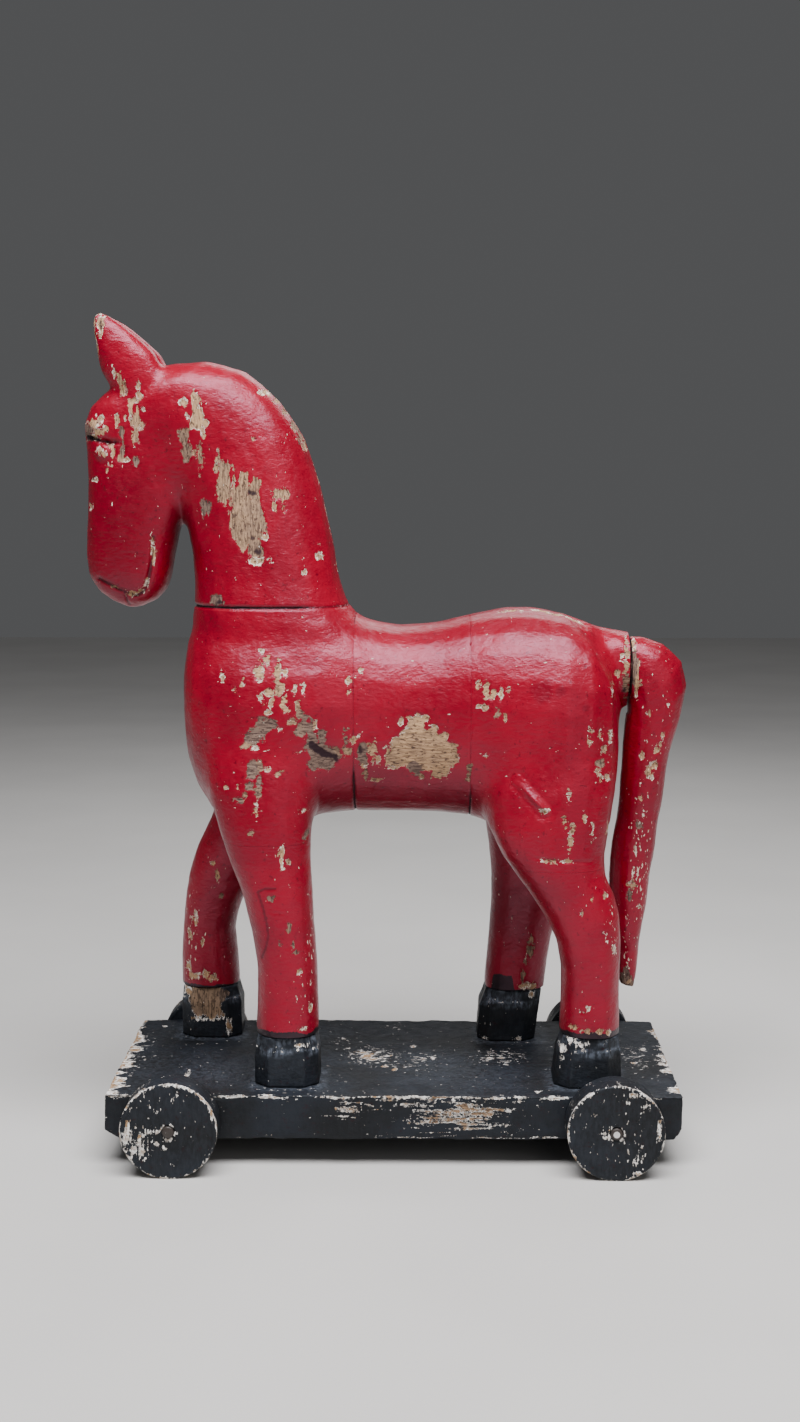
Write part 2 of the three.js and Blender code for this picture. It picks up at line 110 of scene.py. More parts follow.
def smoothstep(low, high, value):
    """0 at low and 1 at high, whichever is larger, with a smooth rise between them."""
    t = np.clip((value - low) / (high - low), 0.0, 1.0)
    return t * t * (3.0 - 2.0 * t)


def near(points, centre, radii):
    """1 at the centre of an ellipsoid, falling smoothly to 0 at its surface."""
    d = np.sqrt((((points - np.asarray(centre, float)) / np.asarray(radii, float)) ** 2).sum(1))
    return smoothstep(1.0, 0.0, d)


def line_distance(a, b, path):
    """Distance from points (a, b) to a line of several straight parts in the same plane."""
    best = np.full(len(a), np.inf)
    for (a0, b0), (a1, b1) in zip(path, path[1:]):
        da, db = a1 - a0, b1 - b0
        t = np.clip(((a - a0) * da + (b - b0) * db) / (da * da + db * db), 0.0, 1.0)
        best = np.minimum(best, np.hypot(a - a0 - t * da, b - b0 - t * db))
    return best


# ---- Meshes as arrays ----

WELD = 1e-6  # metres between CAD points that are one corner
NEIGHBOURS = 8  # coarse points that move each fine point in even_out


def read(items, key, width=1, kind=float):
    """One property of a mesh's points, edges, faces or corners as an array, with a row for each item."""
    flat = np.empty(len(items) * width, kind)
    items.foreach_get(key, flat)
    return flat.reshape(-1, width) if width > 1 else flat


class Form:
    """A mesh of points and faces in millimetres."""

    def __init__(self, mesh):
        self.mesh = mesh

    @property
    def points(self):
        return read(self.mesh.vertices, "co", 3)

    @points.setter
    def points(self, array):
        self.mesh.vertices.foreach_set("co", np.ascontiguousarray(array, dtype=np.float32).ravel())
        self.mesh.update()

    @property
    def normals(self):
        return read(self.mesh.vertex_normals, "vector", 3, np.float32).astype(float)

    def push(self, distance):
        """Moves each point out along its normal."""
        self.points = self.points + self.normals * np.asarray(distance).reshape(-1, 1)

    def store(self, **values):
        """Keeps one number for each point, for the materials to read."""
        for name, value in values.items():
            layer = self.mesh.attributes.get(name) or self.mesh.attributes.new(name, "FLOAT", "POINT")
            layer.data.foreach_set("value", np.ascontiguousarray(value, np.float32))


def cad_mesh(names, grow=0.0, reach=None):
    """CAD nodes as one loose mesh, each grown a little so that neighbours meet."""
    bm = bmesh.new()
    for name in names:
        part = bmesh.new()
        part.from_mesh(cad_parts[name].data)
        bmesh.ops.remove_doubles(part, verts=part.verts, dist=WELD)
        for v in part.verts:
            v.co = v.co / MM - Vector(SHIFT)
        part.normal_update()
        for v in part.verts:
            v.co += v.normal * grow
        if reach is not None:
            reach(name, part)
        mesh = bpy.data.meshes.new("part")
        part.to_mesh(mesh)
        part.free()
        bm.from_mesh(mesh)
        bpy.data.meshes.remove(mesh)
    mesh = bpy.data.meshes.new("form")
    bm.to_mesh(mesh)
    bm.free()
    return mesh


def with_modifier(mesh, kind, **settings):
    """A new mesh with one modifier applied; the old mesh is removed."""
    holder = bpy.data.objects.new("holder", mesh)
    bpy.context.scene.collection.objects.link(holder)
    modifier = holder.modifiers.new(kind, kind)
    for key, value in settings.items():
        setattr(modifier, key, value)
    graph = bpy.context.evaluated_depsgraph_get()
    result = bpy.data.meshes.new_from_object(holder.evaluated_get(graph))
    bpy.data.objects.remove(holder)
    bpy.data.meshes.remove(mesh)
    return result


def voxels(mesh, size):
    return with_modifier(mesh, "REMESH", mode="VOXEL", voxel_size=size, adaptivity=0.0)


def remeshed(mesh, size):
    """The outer skin of a mesh as even squares."""
    mesh = voxels(mesh, size)
    bm = bmesh.new()
    bm.from_mesh(mesh)
    bm.verts.ensure_lookup_table()
    stack = [max(bm.verts, key=lambda v: v.co.z)]
    outer = set(stack)
    while stack:
        for edge in stack.pop().link_edges:
            for v in edge.verts:
                if v not in outer:
                    outer.add(v)
                    stack.append(v)
    bmesh.ops.delete(bm, geom=[v for v in bm.verts if v not in outer], context="VERTS")
    bm.to_mesh(mesh)
    bm.free()
    return mesh


def neighbour_step(form):
    """A function that gives each point's offset to the middle of its neighbours."""
    a, b = read(form.mesh.edges, "vertices", 2, np.int64).T
    count = len(form.mesh.vertices)
    degree = np.bincount(a, minlength=count) + np.bincount(b, minlength=count)
    degree = np.maximum(degree, 1).reshape(-1, 1)

    def step(points):
        total = [np.bincount(a, column[b], count) + np.bincount(b, column[a], count) for column in points.T]
        return np.column_stack(total) / degree - points

    return step


def sand(form, rounds, grow_back=0.53):
    """Rubs out facets without shrinking the form: each round shrinks a little and then grows back."""
    step = neighbour_step(form)
    points = form.points
    for _ in range(rounds):
        points = points + 0.5 * step(points)
        points = points - grow_back * step(points)
    form.points = points


def even_out(form, size, rounds, weight):
    """Takes long flats out of a form: a coarser copy is sanded, and its movement is passed on."""
    coarse = Form(voxels(form.mesh.copy(), size))
    before = coarse.points
    sand(coarse, rounds, 0.51)
    move = coarse.points - before
    tree = KDTree(len(before))
    for i, place in enumerate(before):
        tree.insert(place, i)
    tree.balance()
    points = form.points
    passed = np.zeros_like(points)
    for i, place in enumerate(points):
        found = tree.find_n(place, NEIGHBOURS)
        share = [math.exp(-((distance / size) ** 2)) for _, _, distance in found]
        passed[i] = np.dot(share, move[[index for _, index, _ in found]]) / sum(share)
    form.points = points + passed * weight.reshape(-1, 1)


def fair(form, rounds, weight):
    """Fills inside corners with a smooth fillet and leaves outside corners alone."""
    step = neighbour_step(form)
    points = form.points
    for i in range(rounds):
        if i % 10 == 0:
            form.points = points
            normals = form.normals
        outward = np.clip((step(points) * normals).sum(1), 0.0, None)
        points = points + 0.5 * (outward * weight).reshape(-1, 1) * normals
    form.points = points


def faces_of(mesh):
    """A mesh's corner points, the first corner of each face, and each face's middle."""
    corners = read(mesh.loops, "vertex_index", 1, np.int64)
    starts = read(mesh.polygons, "loop_start", 1, np.int64)
    return corners, starts, read(mesh.polygons, "center", 3)


def part_of(form, chosen):
    """A new form made of the chosen faces of another, with the values at its points."""
    corners, starts, _ = faces_of(form.mesh)
    totals = np.diff(np.append(starts, len(corners)))
    kept = corners[np.repeat(chosen, totals)]
    used, index = np.unique(kept, return_inverse=True)
    mesh = bpy.data.meshes.new("part")
    mesh.vertices.add(len(used))
    mesh.vertices.foreach_set("co", form.points[used].astype(np.float32).ravel())
    mesh.loops.add(len(kept))
    mesh.loops.foreach_set("vertex_index", index.astype(np.int32))
    totals = totals[chosen]
    mesh.polygons.add(len(totals))
    mesh.polygons.foreach_set("loop_start", (np.cumsum(totals) - totals).astype(np.int32))
    mesh.update(calc_edges=True)
    part = Form(mesh)
    for name in VALUES + WHOLE_NORMAL:
        value = read(form.mesh.attributes[name].data, "value", 1, np.float32)
        part.store(**{name: value[used]})
    return part


# ---- Worn paint ----
# Values kept at each point for the materials:
#   loss    millimetres inside a patch of lost paint, negative outside it
#   tone    what shows in the patch: 0 cream undercoat, 0.5 tan wood, 1 grey weathered wood
#   flecks  how thickly small specks of lost paint lie, 0 to 1
#   dirt_and_shade  dark grime, and painted shade on the horse's head, throat and belly, 0 to 1
#   black   millimetres below the line where a leg's red paint ends
#   bloom_and_sheen  pale rubbed bloom on black paint, and painted sheen on the hooves' collars, 0 to 1
VALUES = ["loss", "tone", "flecks", "dirt_and_shade", "black", "bloom_and_sheen"]
WHOLE_NORMAL = ["normal_x", "normal_y", "normal_z"]  # the uncut horse's normal, so that joints do not show

# Patches of lost paint seen square-on from the left: X, Z, half-width, half-height, tone.
LEFT_PATCHES = [
    # head
    (-137.4, 392, 2, 5.4, 0.15), (-139.9, 380, 0.8, 8, 0.1), (-142, 345.5, 4.2, 2, 0),
    (-138.5, 348, 1.8, 1.6, 0), (-144.5, 342.5, 2.6, 4.4, 0.8), (-139, 341.5, 3.4, 1.8, 0.25),
    (-135.6, 342.8, 1.5, 1.6, 0.1), (-142.3, 339.6, 2.6, 1.5, 0.1), (-138.3, 333.2, 1.9, 1.7, 0.1),
    (-136.6, 331.6, 1.9, 1.7, 0.2), (-133.6, 335, 1.5, 0.9, 0.1), (-132, 331.5, 0.8, 2.2, 0.1),
    (-128, 333, 1.3, 3.2, 0.7), (-129, 329.6, 1.9, 1.9, 0.5), (-126.6, 328.4, 1.8, 0.9, 0),
    (-133, 326, 1.6, 0.8, 0.1), (-135.6, 323.8, 0.8, 0.8, 0.1), (-142, 319, 1.6, 0.9, 0),
    (-121.3, 327.7, 1.5, 1.8, 0.9), (-130, 347.5, 1.2, 2.7, 0.3), (-128, 341, 1.4, 2.9, 0.7),
    (-130.6, 369, 1.1, 2.6, 0.1), (-128.6, 366, 1.6, 3.2, 0.4), (-126.6, 362, 1.9, 3.2, 0.4),
    (-120, 362.5, 0.9, 1.4, 0.2), (-119.5, 358.2, 1.6, 1.4, 0.2), (-121.8, 356.2, 1.9, 1.3, 0.3),
    (-123.5, 351.5, 1, 4.2, 0.3), (-120.6, 351, 0.9, 3.6, 0.3), (-121.3, 346, 2.1, 3.8, 0.35),
    (-118.6, 344.6, 1.5, 2.2, 0.2), (-121.3, 339.5, 1.4, 4.6, 0.4), (-117.5, 351.5, 0.8, 1.2, 0.2),
    (-126, 348.5, 0.8, 1.4, 0.3), (-144.3, 306.5, 0.8, 1, 0),
    # mouth
    (-124.6, 265.2, 2.6, 1.1, 0.15), (-120.4, 266.2, 1.8, 1, 0.1), (-118, 269.8, 0.8, 2.2, 0.1),
    (-114.5, 285, 0.8, 3.6, 0), (-114.4, 290.4, 0.8, 1.6, 0), (-134, 268.7, 1.8, 0.7, 0.4),
    # neck
    (-98, 355, 2.5, 1.5, 0.1), (-93, 355.5, 1.9, 3.6, 0.1), (-92, 348.5, 3.4, 5.6, 0.25),
    (-88, 345.5, 2.2, 2, 0.1), (-89.5, 341, 1.1, 3, 0.2), (-96, 348, 1, 1.4, 0.1),
    (-98.5, 339.5, 2.3, 4.3, 0.6), (-97, 331.5, 2.6, 5, 0.65), (-93.5, 331.5, 1.4, 1, 0.4),
    (-91, 330, 1.9, 7.2, 0.5), (-82, 329.5, 1, 2.4, 0.4), (-83, 324.5, 1.5, 2.2, 0.4),
    (-80, 318, 3.3, 8.6, 0.5), (-81, 311, 1.6, 2.6, 0.5), (-77.5, 312, 1.1, 2.6, 0.5),
    (-75, 318.5, 0.9, 5, 0.4), (-70.5, 317, 1.9, 5.6, 0.45), (-65, 316.5, 1.9, 4.2, 0.5),
    (-71.5, 303, 5.6, 13.5, 0.5), (-65.5, 300, 4.6, 15.5, 0.55), (-71, 290.5, 3.5, 4.8, 0.5),
    (-65, 287.5, 3.5, 4.6, 0.6), (-60.5, 292.5, 1.6, 1.4, 0.2), (-65, 281.3, 3, 1.9, 0.05),
    (-57.5, 281.5, 0.8, 1.4, 0.1), (-53, 312.5, 3, 2.4, 0.4), (-51.5, 305, 0.9, 1.9, 0.3),
    (-56, 306.5, 0.9, 1.5, 0.2), (-36, 283.7, 1.6, 1.7, 0.05), (-88.5, 306, 2.4, 4, 0.85),
    (-83.5, 263, 3.2, 2.4, 0.9), (-42, 276, 1.1, 1.1, 0.2), (-65.3, 338, 1.2, 1, 0.2),
    (-56, 356.5, 1.3, 1.5, 0.4), (-51.5, 351.5, 1.2, 2.2, 0.5), (-47.5, 345.5, 1.3, 3.8, 0.6),
    (-44.5, 340, 1.2, 3, 0.6), (-42.5, 335.5, 1, 2.4, 0.4), (-61.5, 360, 2.2, 1.2, 0.1),
    # shoulder
    (-62.5, 230.5, 2.2, 3.6, 0.25), (-59, 235.5, 1.4, 2.6, 0.2), (-62, 239.5, 1.2, 1.4, 0.2),
    (-53.7, 229.5, 1.4, 5.4, 0.3), (-53, 222.5, 2.2, 2.8, 0.4), (-51, 217, 1.4, 4.2, 0.2),
    (-49.8, 213, 1.7, 2, 0.2), (-50.5, 230, 1.1, 2.1, 0.2), (-58, 221, 3.2, 2.6, 0.3),
    (-57, 217.3, 1.4, 2.6, 0.2), (-61.5, 219, 1.1, 2.1, 0.2), (-80, 227.5, 1, 2.2, 0.2),
    (-70, 226.5, 0.9, 2, 0.2), (-74, 222.5, 0.8, 1.1, 0.2), (-46, 223, 0.8, 2, 0.2), (-42, 222, 1, 2.6, 0.2),
    (-58, 212, 1.4, 1.1, 0.1), (-60, 205.5, 4.8, 3.8, 0.75), (-56.5, 206.5, 2.8, 2.6, 0.8),
    (-62.8, 202, 4.2, 3.2, 0.95), (-66, 200, 3.2, 3.2, 0.95), (-68, 196.5, 2.6, 1.9, 0.5),
    (-65, 195.3, 1.7, 1.2, 0), (-52.5, 204.2, 1.4, 1, 0.3), (-47.5, 207.5, 2, 2, 0.5),
    (-44.5, 215, 1.2, 2.7, 0.4), (-43.5, 211.5, 1.7, 2.1, 0.6), (-41, 208, 1.7, 3.2, 0.75),
    (-43, 203.5, 2.6, 2.8, 0.7), (-39, 204, 1.5, 3.6, 0.85), (-36.4, 205.5, 1.2, 1.7, 0.2),
    (-33.5, 201, 1.7, 3.4, 0.8), (-38, 197, 2.8, 5.2, 0.95), (-34.5, 192.5, 5.2, 5.2, 1),
    (-30, 190.5, 4.2, 4, 1), (-27, 193, 2.1, 2.7, 0.6), (-37, 187.2, 3, 2.6, 0.9), (-33, 186.5, 3, 1.8, 0.8),
    (-22.6, 198, 1, 5, 0.7), (-22, 193, 2, 2.1, 0.5), (-18.5, 198, 1.4, 2.2, 0.4), (-16.3, 200, 0.9, 1, 0.1),
    (-14.4, 191.7, 3, 6, 0.95), (-11.2, 192.5, 2.4, 5, 0.4), (-9.3, 194.2, 1.6, 3.6, 0.3),
    (-14.4, 185.8, 1.6, 1.3, 0.2), (-7.4, 188.5, 0.9, 2.5, 0.3), (-13.5, 181.5, 0.9, 2.1, 0.6),
    (-9, 178.6, 2.2, 1, 0.4), (-65.6, 184.5, 2.6, 5.2, 0.8), (-62, 187.5, 2.1, 2.6, 0.6),
    (-58.4, 185.6, 1.7, 1, 0.3), (-54, 183.5, 1.7, 1.1, 0.5), (-62.6, 180, 1.7, 3.1, 0.8),
    (-63, 175, 1.4, 3.1, 0.6), (-63.5, 169, 1.1, 4, 0.2), (-67, 178, 1.7, 2.1, 0.7),
    (-72.5, 171.6, 2.2, 1.4, 0.7), (-69, 173.2, 1.4, 1.6, 0.5), (-78, 177, 0.9, 0.9, 0.3),
    (-72.5, 177.5, 0.9, 1, 0.4), (-66, 156.5, 1.5, 1.5, 0.5), (-53, 146.5, 1.5, 1.2, 0.3),
    (-42.5, 165.5, 1.6, 0.8, 0.2), (-41.5, 153.5, 1, 2, 0.8), (-44.4, 193, 1, 1, 0.3),
    (-21.5, 226, 0.9, 1.6, 0.1), (-21, 221, 0.8, 0.9, 0.1), (-15.5, 230.5, 0.9, 1.2, 0.1),
    # barrel
    (10.8, 204, 4.4, 6.4, 0.3), (7.6, 208.6, 1.6, 1.4, 0.1), (14, 208.2, 1.8, 2, 0.1),
    (11, 196, 9.5, 8.5, 0.4), (4.6, 200, 2.2, 4.6, 0.3), (1.2, 196, 2.4, 4.2, 0.3),
    (-2.8, 191, 1.6, 5.4, 0.3), (4, 190, 8, 5.4, 0.4), (17, 192, 11.5, 9.6, 0.4), (24, 191, 5.6, 8, 0.4),
    (18.7, 201, 1.7, 3.6, 0.3), (23.6, 199.4, 2.2, 2.2, 0.3), (10, 185.6, 4.4, 5.2, 0.85),
    (20.6, 183.2, 3.2, 3.8, 0.45), (24.6, 183, 2, 3.2, 0.4), (3, 206.2, 1.3, 2.3, 0.2),
    (13, 180.4, 1.1, 1.9, 0.4), (-1.6, 184.6, 1.6, 1.4, 0.3), (35.4, 184, 0.9, 2.6, 0.6),
    (34.7, 180, 0.8, 1.2, 0.6), (29, 190.4, 1.6, 1.8, 0.1),
    # rump and haunch
    (39, 224.5, 1.1, 1.4, 0.1), (43, 221, 1.2, 3.2, 0.3), (44.6, 218.4, 1.6, 1.1, 0.1),
    (46.5, 220.5, 1.4, 2.8, 0.3), (49.5, 220, 1.1, 2.7, 0.2), (53.3, 222.3, 1.1, 1.7, 0.4),
    (39.5, 215, 0.9, 1.4, 0.1), (42, 214, 1.1, 1.6, 0.4), (48.3, 211.5, 1.4, 2.5, 0.6),
    (51.5, 210, 0.8, 1.4, 0.3), (43, 191, 0.9, 0.8, 0), (91.5, 204, 0.9, 1.4, 0.4),
    (90.5, 199, 0.8, 2.1, 0.3), (96, 201.5, 0.8, 1.7, 0.3), (101.3, 199.5, 0.9, 2.6, 0.2),
    (97.8, 194, 1.1, 2.4, 0.4), (95.8, 188, 2.1, 2, 0.65), (95.2, 184, 1.1, 2, 0.4),
    (96.6, 181, 0.8, 1.3, 0.2), (99.7, 181, 1.1, 1.4, 0.3), (102.7, 221, 0.8, 2, 0.1),
    (81, 173.3, 0.8, 2.1, 0.3), (79.3, 162, 0.8, 3.1, 0.4), (83, 157, 0.9, 2.6, 0.4), (82, 152, 1, 3.1, 0.3),
    (88.7, 164, 0.8, 1.7, 0.3), (92.8, 157.5, 0.9, 3.6, 0.3), (101, 156, 0.9, 2.7, 0.3),
    (70, 166.8, 1.6, 1.6, 0), (72, 143.8, 3.6, 0.8, 0.1), (80, 143.3, 2.6, 0.8, 0.2),
    (106.3, 228, 1.3, 1.9, 0), (108.6, 236, 0.9, 1.8, 0), (110.8, 234, 1, 9, 0.3), (110.6, 222, 1.3, 5, 0.6),
    # legs
    (-52, 145, 0.9, 4, 0.2), (-48.5, 142.5, 0.9, 1.1, 0.4), (-57.5, 125.5, 2.2, 1.6, 0.7),
    (-48.5, 112.2, 1.2, 2, 0.7), (-50, 110, 1.1, 1.1, 0.6), (-53.5, 103.5, 0.9, 1.4, 0.8),
    (-47.3, 103, 0.9, 1.1, 0.8), (-45.5, 99.5, 1.2, 0.9, 0.7), (-44, 89.7, 1.2, 1.2, 0),
    (-38.8, 72.3, 0.8, 1.2, 0), (-43.5, 62.6, 2.2, 0.9, 0.05), (87.3, 118.5, 0.9, 1.4, 0.3),
    (92.5, 125.5, 0.8, 1.6, 0.1), (99, 126, 1.1, 1, 0), (103.5, 101, 0.8, 1.6, 0), (88.5, 71, 1.5, 0.9, 0),
    (91, 73, 0.9, 1, 0), (84.5, 63.2, 1.6, 1.2, 0.3), (90, 62, 2, 0.8, 0.35), (97, 61.8, 3, 1.3, 0.35),
    (101, 61.3, 1.4, 1.6, 0.1),
]

# The side of the right legs that faces left, and of the right hooves.
INNER_PATCHES = [
    (-91, 119, 1, 4, 0.3), (-93, 126.5, 1.4, 1.3, 0.3), (-88.5, 109.5, 1.2, 1.3, 0.6),
    (-92, 114, 0.9, 1.6, 0.2), (-103, 96, 1, 3.4, 0.1), (-106, 88, 1.2, 2.4, 0.1), (-99, 84, 0.9, 2, 0.2),
    (-107, 71, 1.4, 2.6, 0), (-104, 66.6, 3.2, 1.4, 0), (-98, 68, 2.4, 2.8, 0.2), (-94, 66, 2, 1.6, 0.3),
    (68, 82.5, 1.5, 3.2, 0.6), (69.5, 87.5, 0.9, 2.2, 0.5), (66, 76, 0.8, 2.4, 0.6),
    (64.5, 69, 1.1, 2.6, 0.6), (70.5, 62.6, 1.8, 1.9, 0), (66, 63.6, 2.4, 1.1, 0.1),
]

# The back, seen from above: X, Y, half-length, half-width, tone.
TOP_PATCHES = [
    (55, -9, 5, 1.5, 0.1), (70, -8, 4.5, 1.4, 0.1), (77, -9.5, 5, 1.9, 0.3), (85, -10, 4.4, 1.3, 0.1),
    (62, 7, 3.4, 1.4, 0.2), (81, 5, 5.2, 2.2, 0.4), (48, 14, 2, 1.2, 0.3), (20, 4, 1.6, 0.9, 0.1),
    (-4, 9, 2.2, 1.1, 0.3), (93, 7, 3, 1.4, 0.1),
]

# Tail, seen from the left.
TAIL_PATCHES = [
    (114.4, 229, 2.3, 11.5, 0.75), (116.3, 224, 1.3, 8, 0.2), (114, 240, 2, 3.4, 0.1),
    (122, 207.5, 1.2, 1.4, 0.4), (128.5, 197.5, 1.5, 1.6, 0.3), (128, 193, 1.4, 1.6, 0.3),
    (126.5, 189.5, 1.5, 1.5, 0.3), (119.5, 187, 1.6, 2.1, 0.35), (125, 182.5, 2.2, 1.6, 0.2),
    (122.5, 180, 1.2, 2.2, 0.2), (124, 177, 1.2, 1.7, 0.1), (118.5, 152.5, 1.2, 2, 0.9),
    (116.3, 123, 1.4, 1.8, 0.5), (115, 118, 1.7, 3, 0.8), (114, 124, 1.2, 1.4, 0.3), (113.8, 76, 2, 4.6, 0.8),
    (115.4, 73.4, 1.6, 1.8, 0.1), (120, 112, 0.9, 1.2, 0.1), (117, 141, 0.8, 1.6, 0.3),
    (119, 167, 0.8, 1.4, 0.3),
]

# How thickly small specks lie, seen from the left: X, Z, half-width, half-height, amount.
LEFT_FLECKS = [
    (-92, 301, 6, 10, 0.5), (-47, 345, 16, 34, 0.2), (-40, 300, 10, 34, 0.15), (-40, 98, 5, 34, 0.6),
    (-45, 75, 8, 16, 0.35), (-110, 338, 8, 12, 0.25), (-133, 330, 12, 11, 0.2), (-114, 285, 3, 22, 0.4),
    (-124, 267, 9, 4, 0.3), (-60, 205, 24, 34, 0.16), (101, 112, 8, 26, 0.65), (92, 70, 15, 9, 0.25),
    (98, 180, 9, 36, 0.25), (-104, 90, 8, 40, 0.7), (60, 90, 14, 28, 0.2), (-18, 226, 5, 10, 0.3),
    (-52, 65, 14, 5, 0.3), (80, 160, 14, 30, 0.12),
]
TAIL_FLECKS = [(120, 140, 9, 60, 0.8), (131, 208, 6, 14, 0.8), (124, 190, 12, 30, 0.4), (114, 95, 8, 30, 0.6)]

# Clusters of patches on the right side: X, Z, spread, number of patches, size, tone.
RIGHT_CLUSTERS = [
    (-130, 342, 7, 6, 1.6, 0.3), (-118, 350, 5, 5, 1.5, 0.3), (-84, 338, 8, 7, 2.6, 0.4),
    (-66, 306, 7, 9, 4.2, 0.5), (-52, 282, 6, 5, 1.8, 0.5), (-50, 222, 11, 11, 2.4, 0.3),
    (-30, 200, 9, 10, 3, 0.7), (-8, 188, 6, 6, 2.4, 0.5), (28, 206, 8, 9, 3.4, 0.4),
    (60, 190, 9, 7, 2.2, 0.6), (88, 214, 8, 8, 2.2, 0.3), (96, 176, 6, 6, 1.6, 0.4),
    (-78, 168, 6, 7, 1.6, 0.6), (-90, 118, 5, 6, 1.3, 0.5), (-92, 84, 6, 6, 1.2, 0.3),
    (68, 120, 6, 6, 1.4, 0.5), (60, 84, 6, 6, 1.4, 0.4),
]

SOUND = -6.0  # the loss where paint is whole
NO_BLACK = -20.0  # the value of black where nothing is dipped in black
PATCH_REACH = 3.0  # how far past its ellipse a ragged patch can come


def right_patches():
    random = np.random.RandomState(31)
    rows = []
    for x, z, spread, count, size, tone in RIGHT_CLUSTERS:
        for _ in range(count):
            offset = random.normal(0.0, spread / 2.0, 2)
            wide, tall = size * random.uniform(0.3, 1.0), size * random.uniform(0.5, 1.9)
            shade = np.clip(tone + random.uniform(-0.25, 0.25), 0.0, 1.0)
            rows.append((x + offset[0], z + offset[1], wide, tall, shade))
    return rows


def wear(a, b, patches, ragged, where):
    """Loss and tone from rows of elliptic patches laid out over the coordinates a and b."""
    loss = np.full(len(a), SOUND)
    tone = np.full(len(a), 0.3)
    for ca, cb, ra, rb, shade in patches:
        close = (np.abs(a - ca) < ra + PATCH_REACH) & (np.abs(b - cb) < rb + PATCH_REACH)
        index = np.nonzero(where & close)[0]
        size = min(ra, rb)
        q = np.hypot((a[index] - ca) / ra, (b[index] - cb) / rb)
        depth = (1.0 - q) * size * 1.15 + ragged[index] * min(1.7, 0.2 + 0.5 * size)
        better = depth > loss[index]
        loss[index[better]] = depth[better]
        tone[index[better]] = shade
    return loss, tone


def merge(worn, loss, tone, where=True):
    """Adds lost paint to a pair of loss and tone; the deeper loss shows."""
    loss = np.where(where, loss, SOUND)
    deeper = loss > worn[0]
    return np.where(deeper, loss, worn[0]), np.where(deeper, tone, worn[1])


def fleck_amount(a, b, rows, where, base):
    amount = np.full(len(a), base)
    for ca, cb, ra, rb, value in rows:
        q = np.hypot((a - ca) / ra, (b - cb) / rb)
        amount = np.maximum(amount, where * smoothstep(1.0, 0.2, q) * value)
    return amount


def ragged_noise(p, tall):
    """Uneven edges for patches; tall stretches them along Z, as paint splits along the grain."""
    return layered(p, (2.2, 2.2, 2.2 * tall), 3, 4.0) * 0.8


def paint_values(worn, flecks, dirt_and_shade=0.0, black=NO_BLACK, bloom_and_sheen=0.0):
    """The values that the materials read, each spread over all points, in the order of VALUES."""
    return dict(zip(VALUES, np.broadcast_arrays(*worn, flecks, dirt_and_shade, black, bloom_and_sheen)))


def chip_depth(loss):
    return smoothstep(-0.15, 0.35, loss)


def recess(form, values, depth):
    """Sinks the patches of lost paint below the paint around them."""
    form.push(-depth * chip_depth(values["loss"]) - 0.5 * depth * smoothstep(0.4, 1.0, values["dirt_and_shade"]))


# ---- The carved horse, as one form that is cut into its blocks afterwards ----

BLOCKS = ["neck_head", "ear_left", "ear_right", "chest_block", "barrel_block", "rump_block"]
HALF_SEAM = 0.15  # half the gap between CAD blocks
GROW = 0.22  # closes those gaps
COARSE = 1.4  # voxel size; the form is divided once more after smoothing
REACH = 12.0  # how far flat ends are drawn out, so that smoothing leaves their outlines alone
FLAT = 0.05  # how near a flat end its points lie
CHIP = 0.32  # how deep the chips are

NECK_SEAM = node_box("chest_block")[1][2] + HALF_SEAM
FRONT_SEAM = node_box("chest_block")[1][0] + HALF_SEAM
REAR_SEAM = node_box("rump_block")[0][0] - HALF_SEAM
TAIL_SEAM = node_box("rump_block")[1][0] + HALF_SEAM
LEG_SEAMS = {leg: node_box(f"leg_{leg}")[1][2] + HALF_SEAM for leg in CORNERS}
LEG_ENDS = {leg: node_box(f"leg_{leg}")[0][2] for leg in CORNERS}
MUZZLE_REAR = -108.0  # ahead of this the head hangs lower than the neck's seam
MID_LEGS = 8.0  # X between the front and the rear legs
EAR_SEAT = np.array([-123.0, 0.0, 366.5])
EAR_SEAT_NORMAL = np.array([-0.408, 0.0, 0.913])
EAR_REAR = -107.0
EAR_MIDDLE = 12.4  # half the distance between the ears' tips
EAR_TIP = (-140, EAR_MIDDLE, 391.6)


def draw_out(name, part):
    if name.startswith("leg_"):
        lowest = min(v.co.z for v in part.verts)
        for v in part.verts:
            if v.co.z < lowest + FLAT:
                v.co.z -= REACH
    if name == "rump_block":
        last = max(v.co.x for v in part.verts)
        for v in part.verts:
            if v.co.x > last - FLAT:
                v.co.x += REACH


def offset_from(points, point, normal):
    """How far points are past a plane, along its normal."""
    return (points - np.asarray(point)) @ np.asarray(normal, float)


def leg_region(leg):
    """A test for points on a leg's side and in its half of the horse."""
    side = side_of(leg)
    front = leg.startswith("front")
    return lambda c: (c[:, 1] * side > 0) & ((c[:, 0] < MID_LEGS) == front)


def cut_planes():
    """Each cut: a point on the plane, its normal, and where it applies."""
    cuts = [
        ((0, 0, NECK_SEAM), (0, 0, 1), lambda c: c[:, 0] > MUZZLE_REAR),
        ((FRONT_SEAM, 0, 0), (1, 0, 0), lambda c: c[:, 2] > LEG_SEAMS["front_left"]),
        ((REAR_SEAM, 0, 0), (1, 0, 0), lambda c: c[:, 2] > LEG_SEAMS["rear_left"]),
        ((TAIL_SEAM, 0, 0), (1, 0, 0), lambda c: c[:, 0] > 0),
        (EAR_SEAT, EAR_SEAT_NORMAL, lambda c: c[:, 0] < EAR_REAR),
    ]
    for leg in CORNERS:
        cuts += [((0, 0, z), (0, 0, 1), leg_region(leg)) for z in (LEG_SEAMS[leg], LEG_ENDS[leg])]
    return cuts


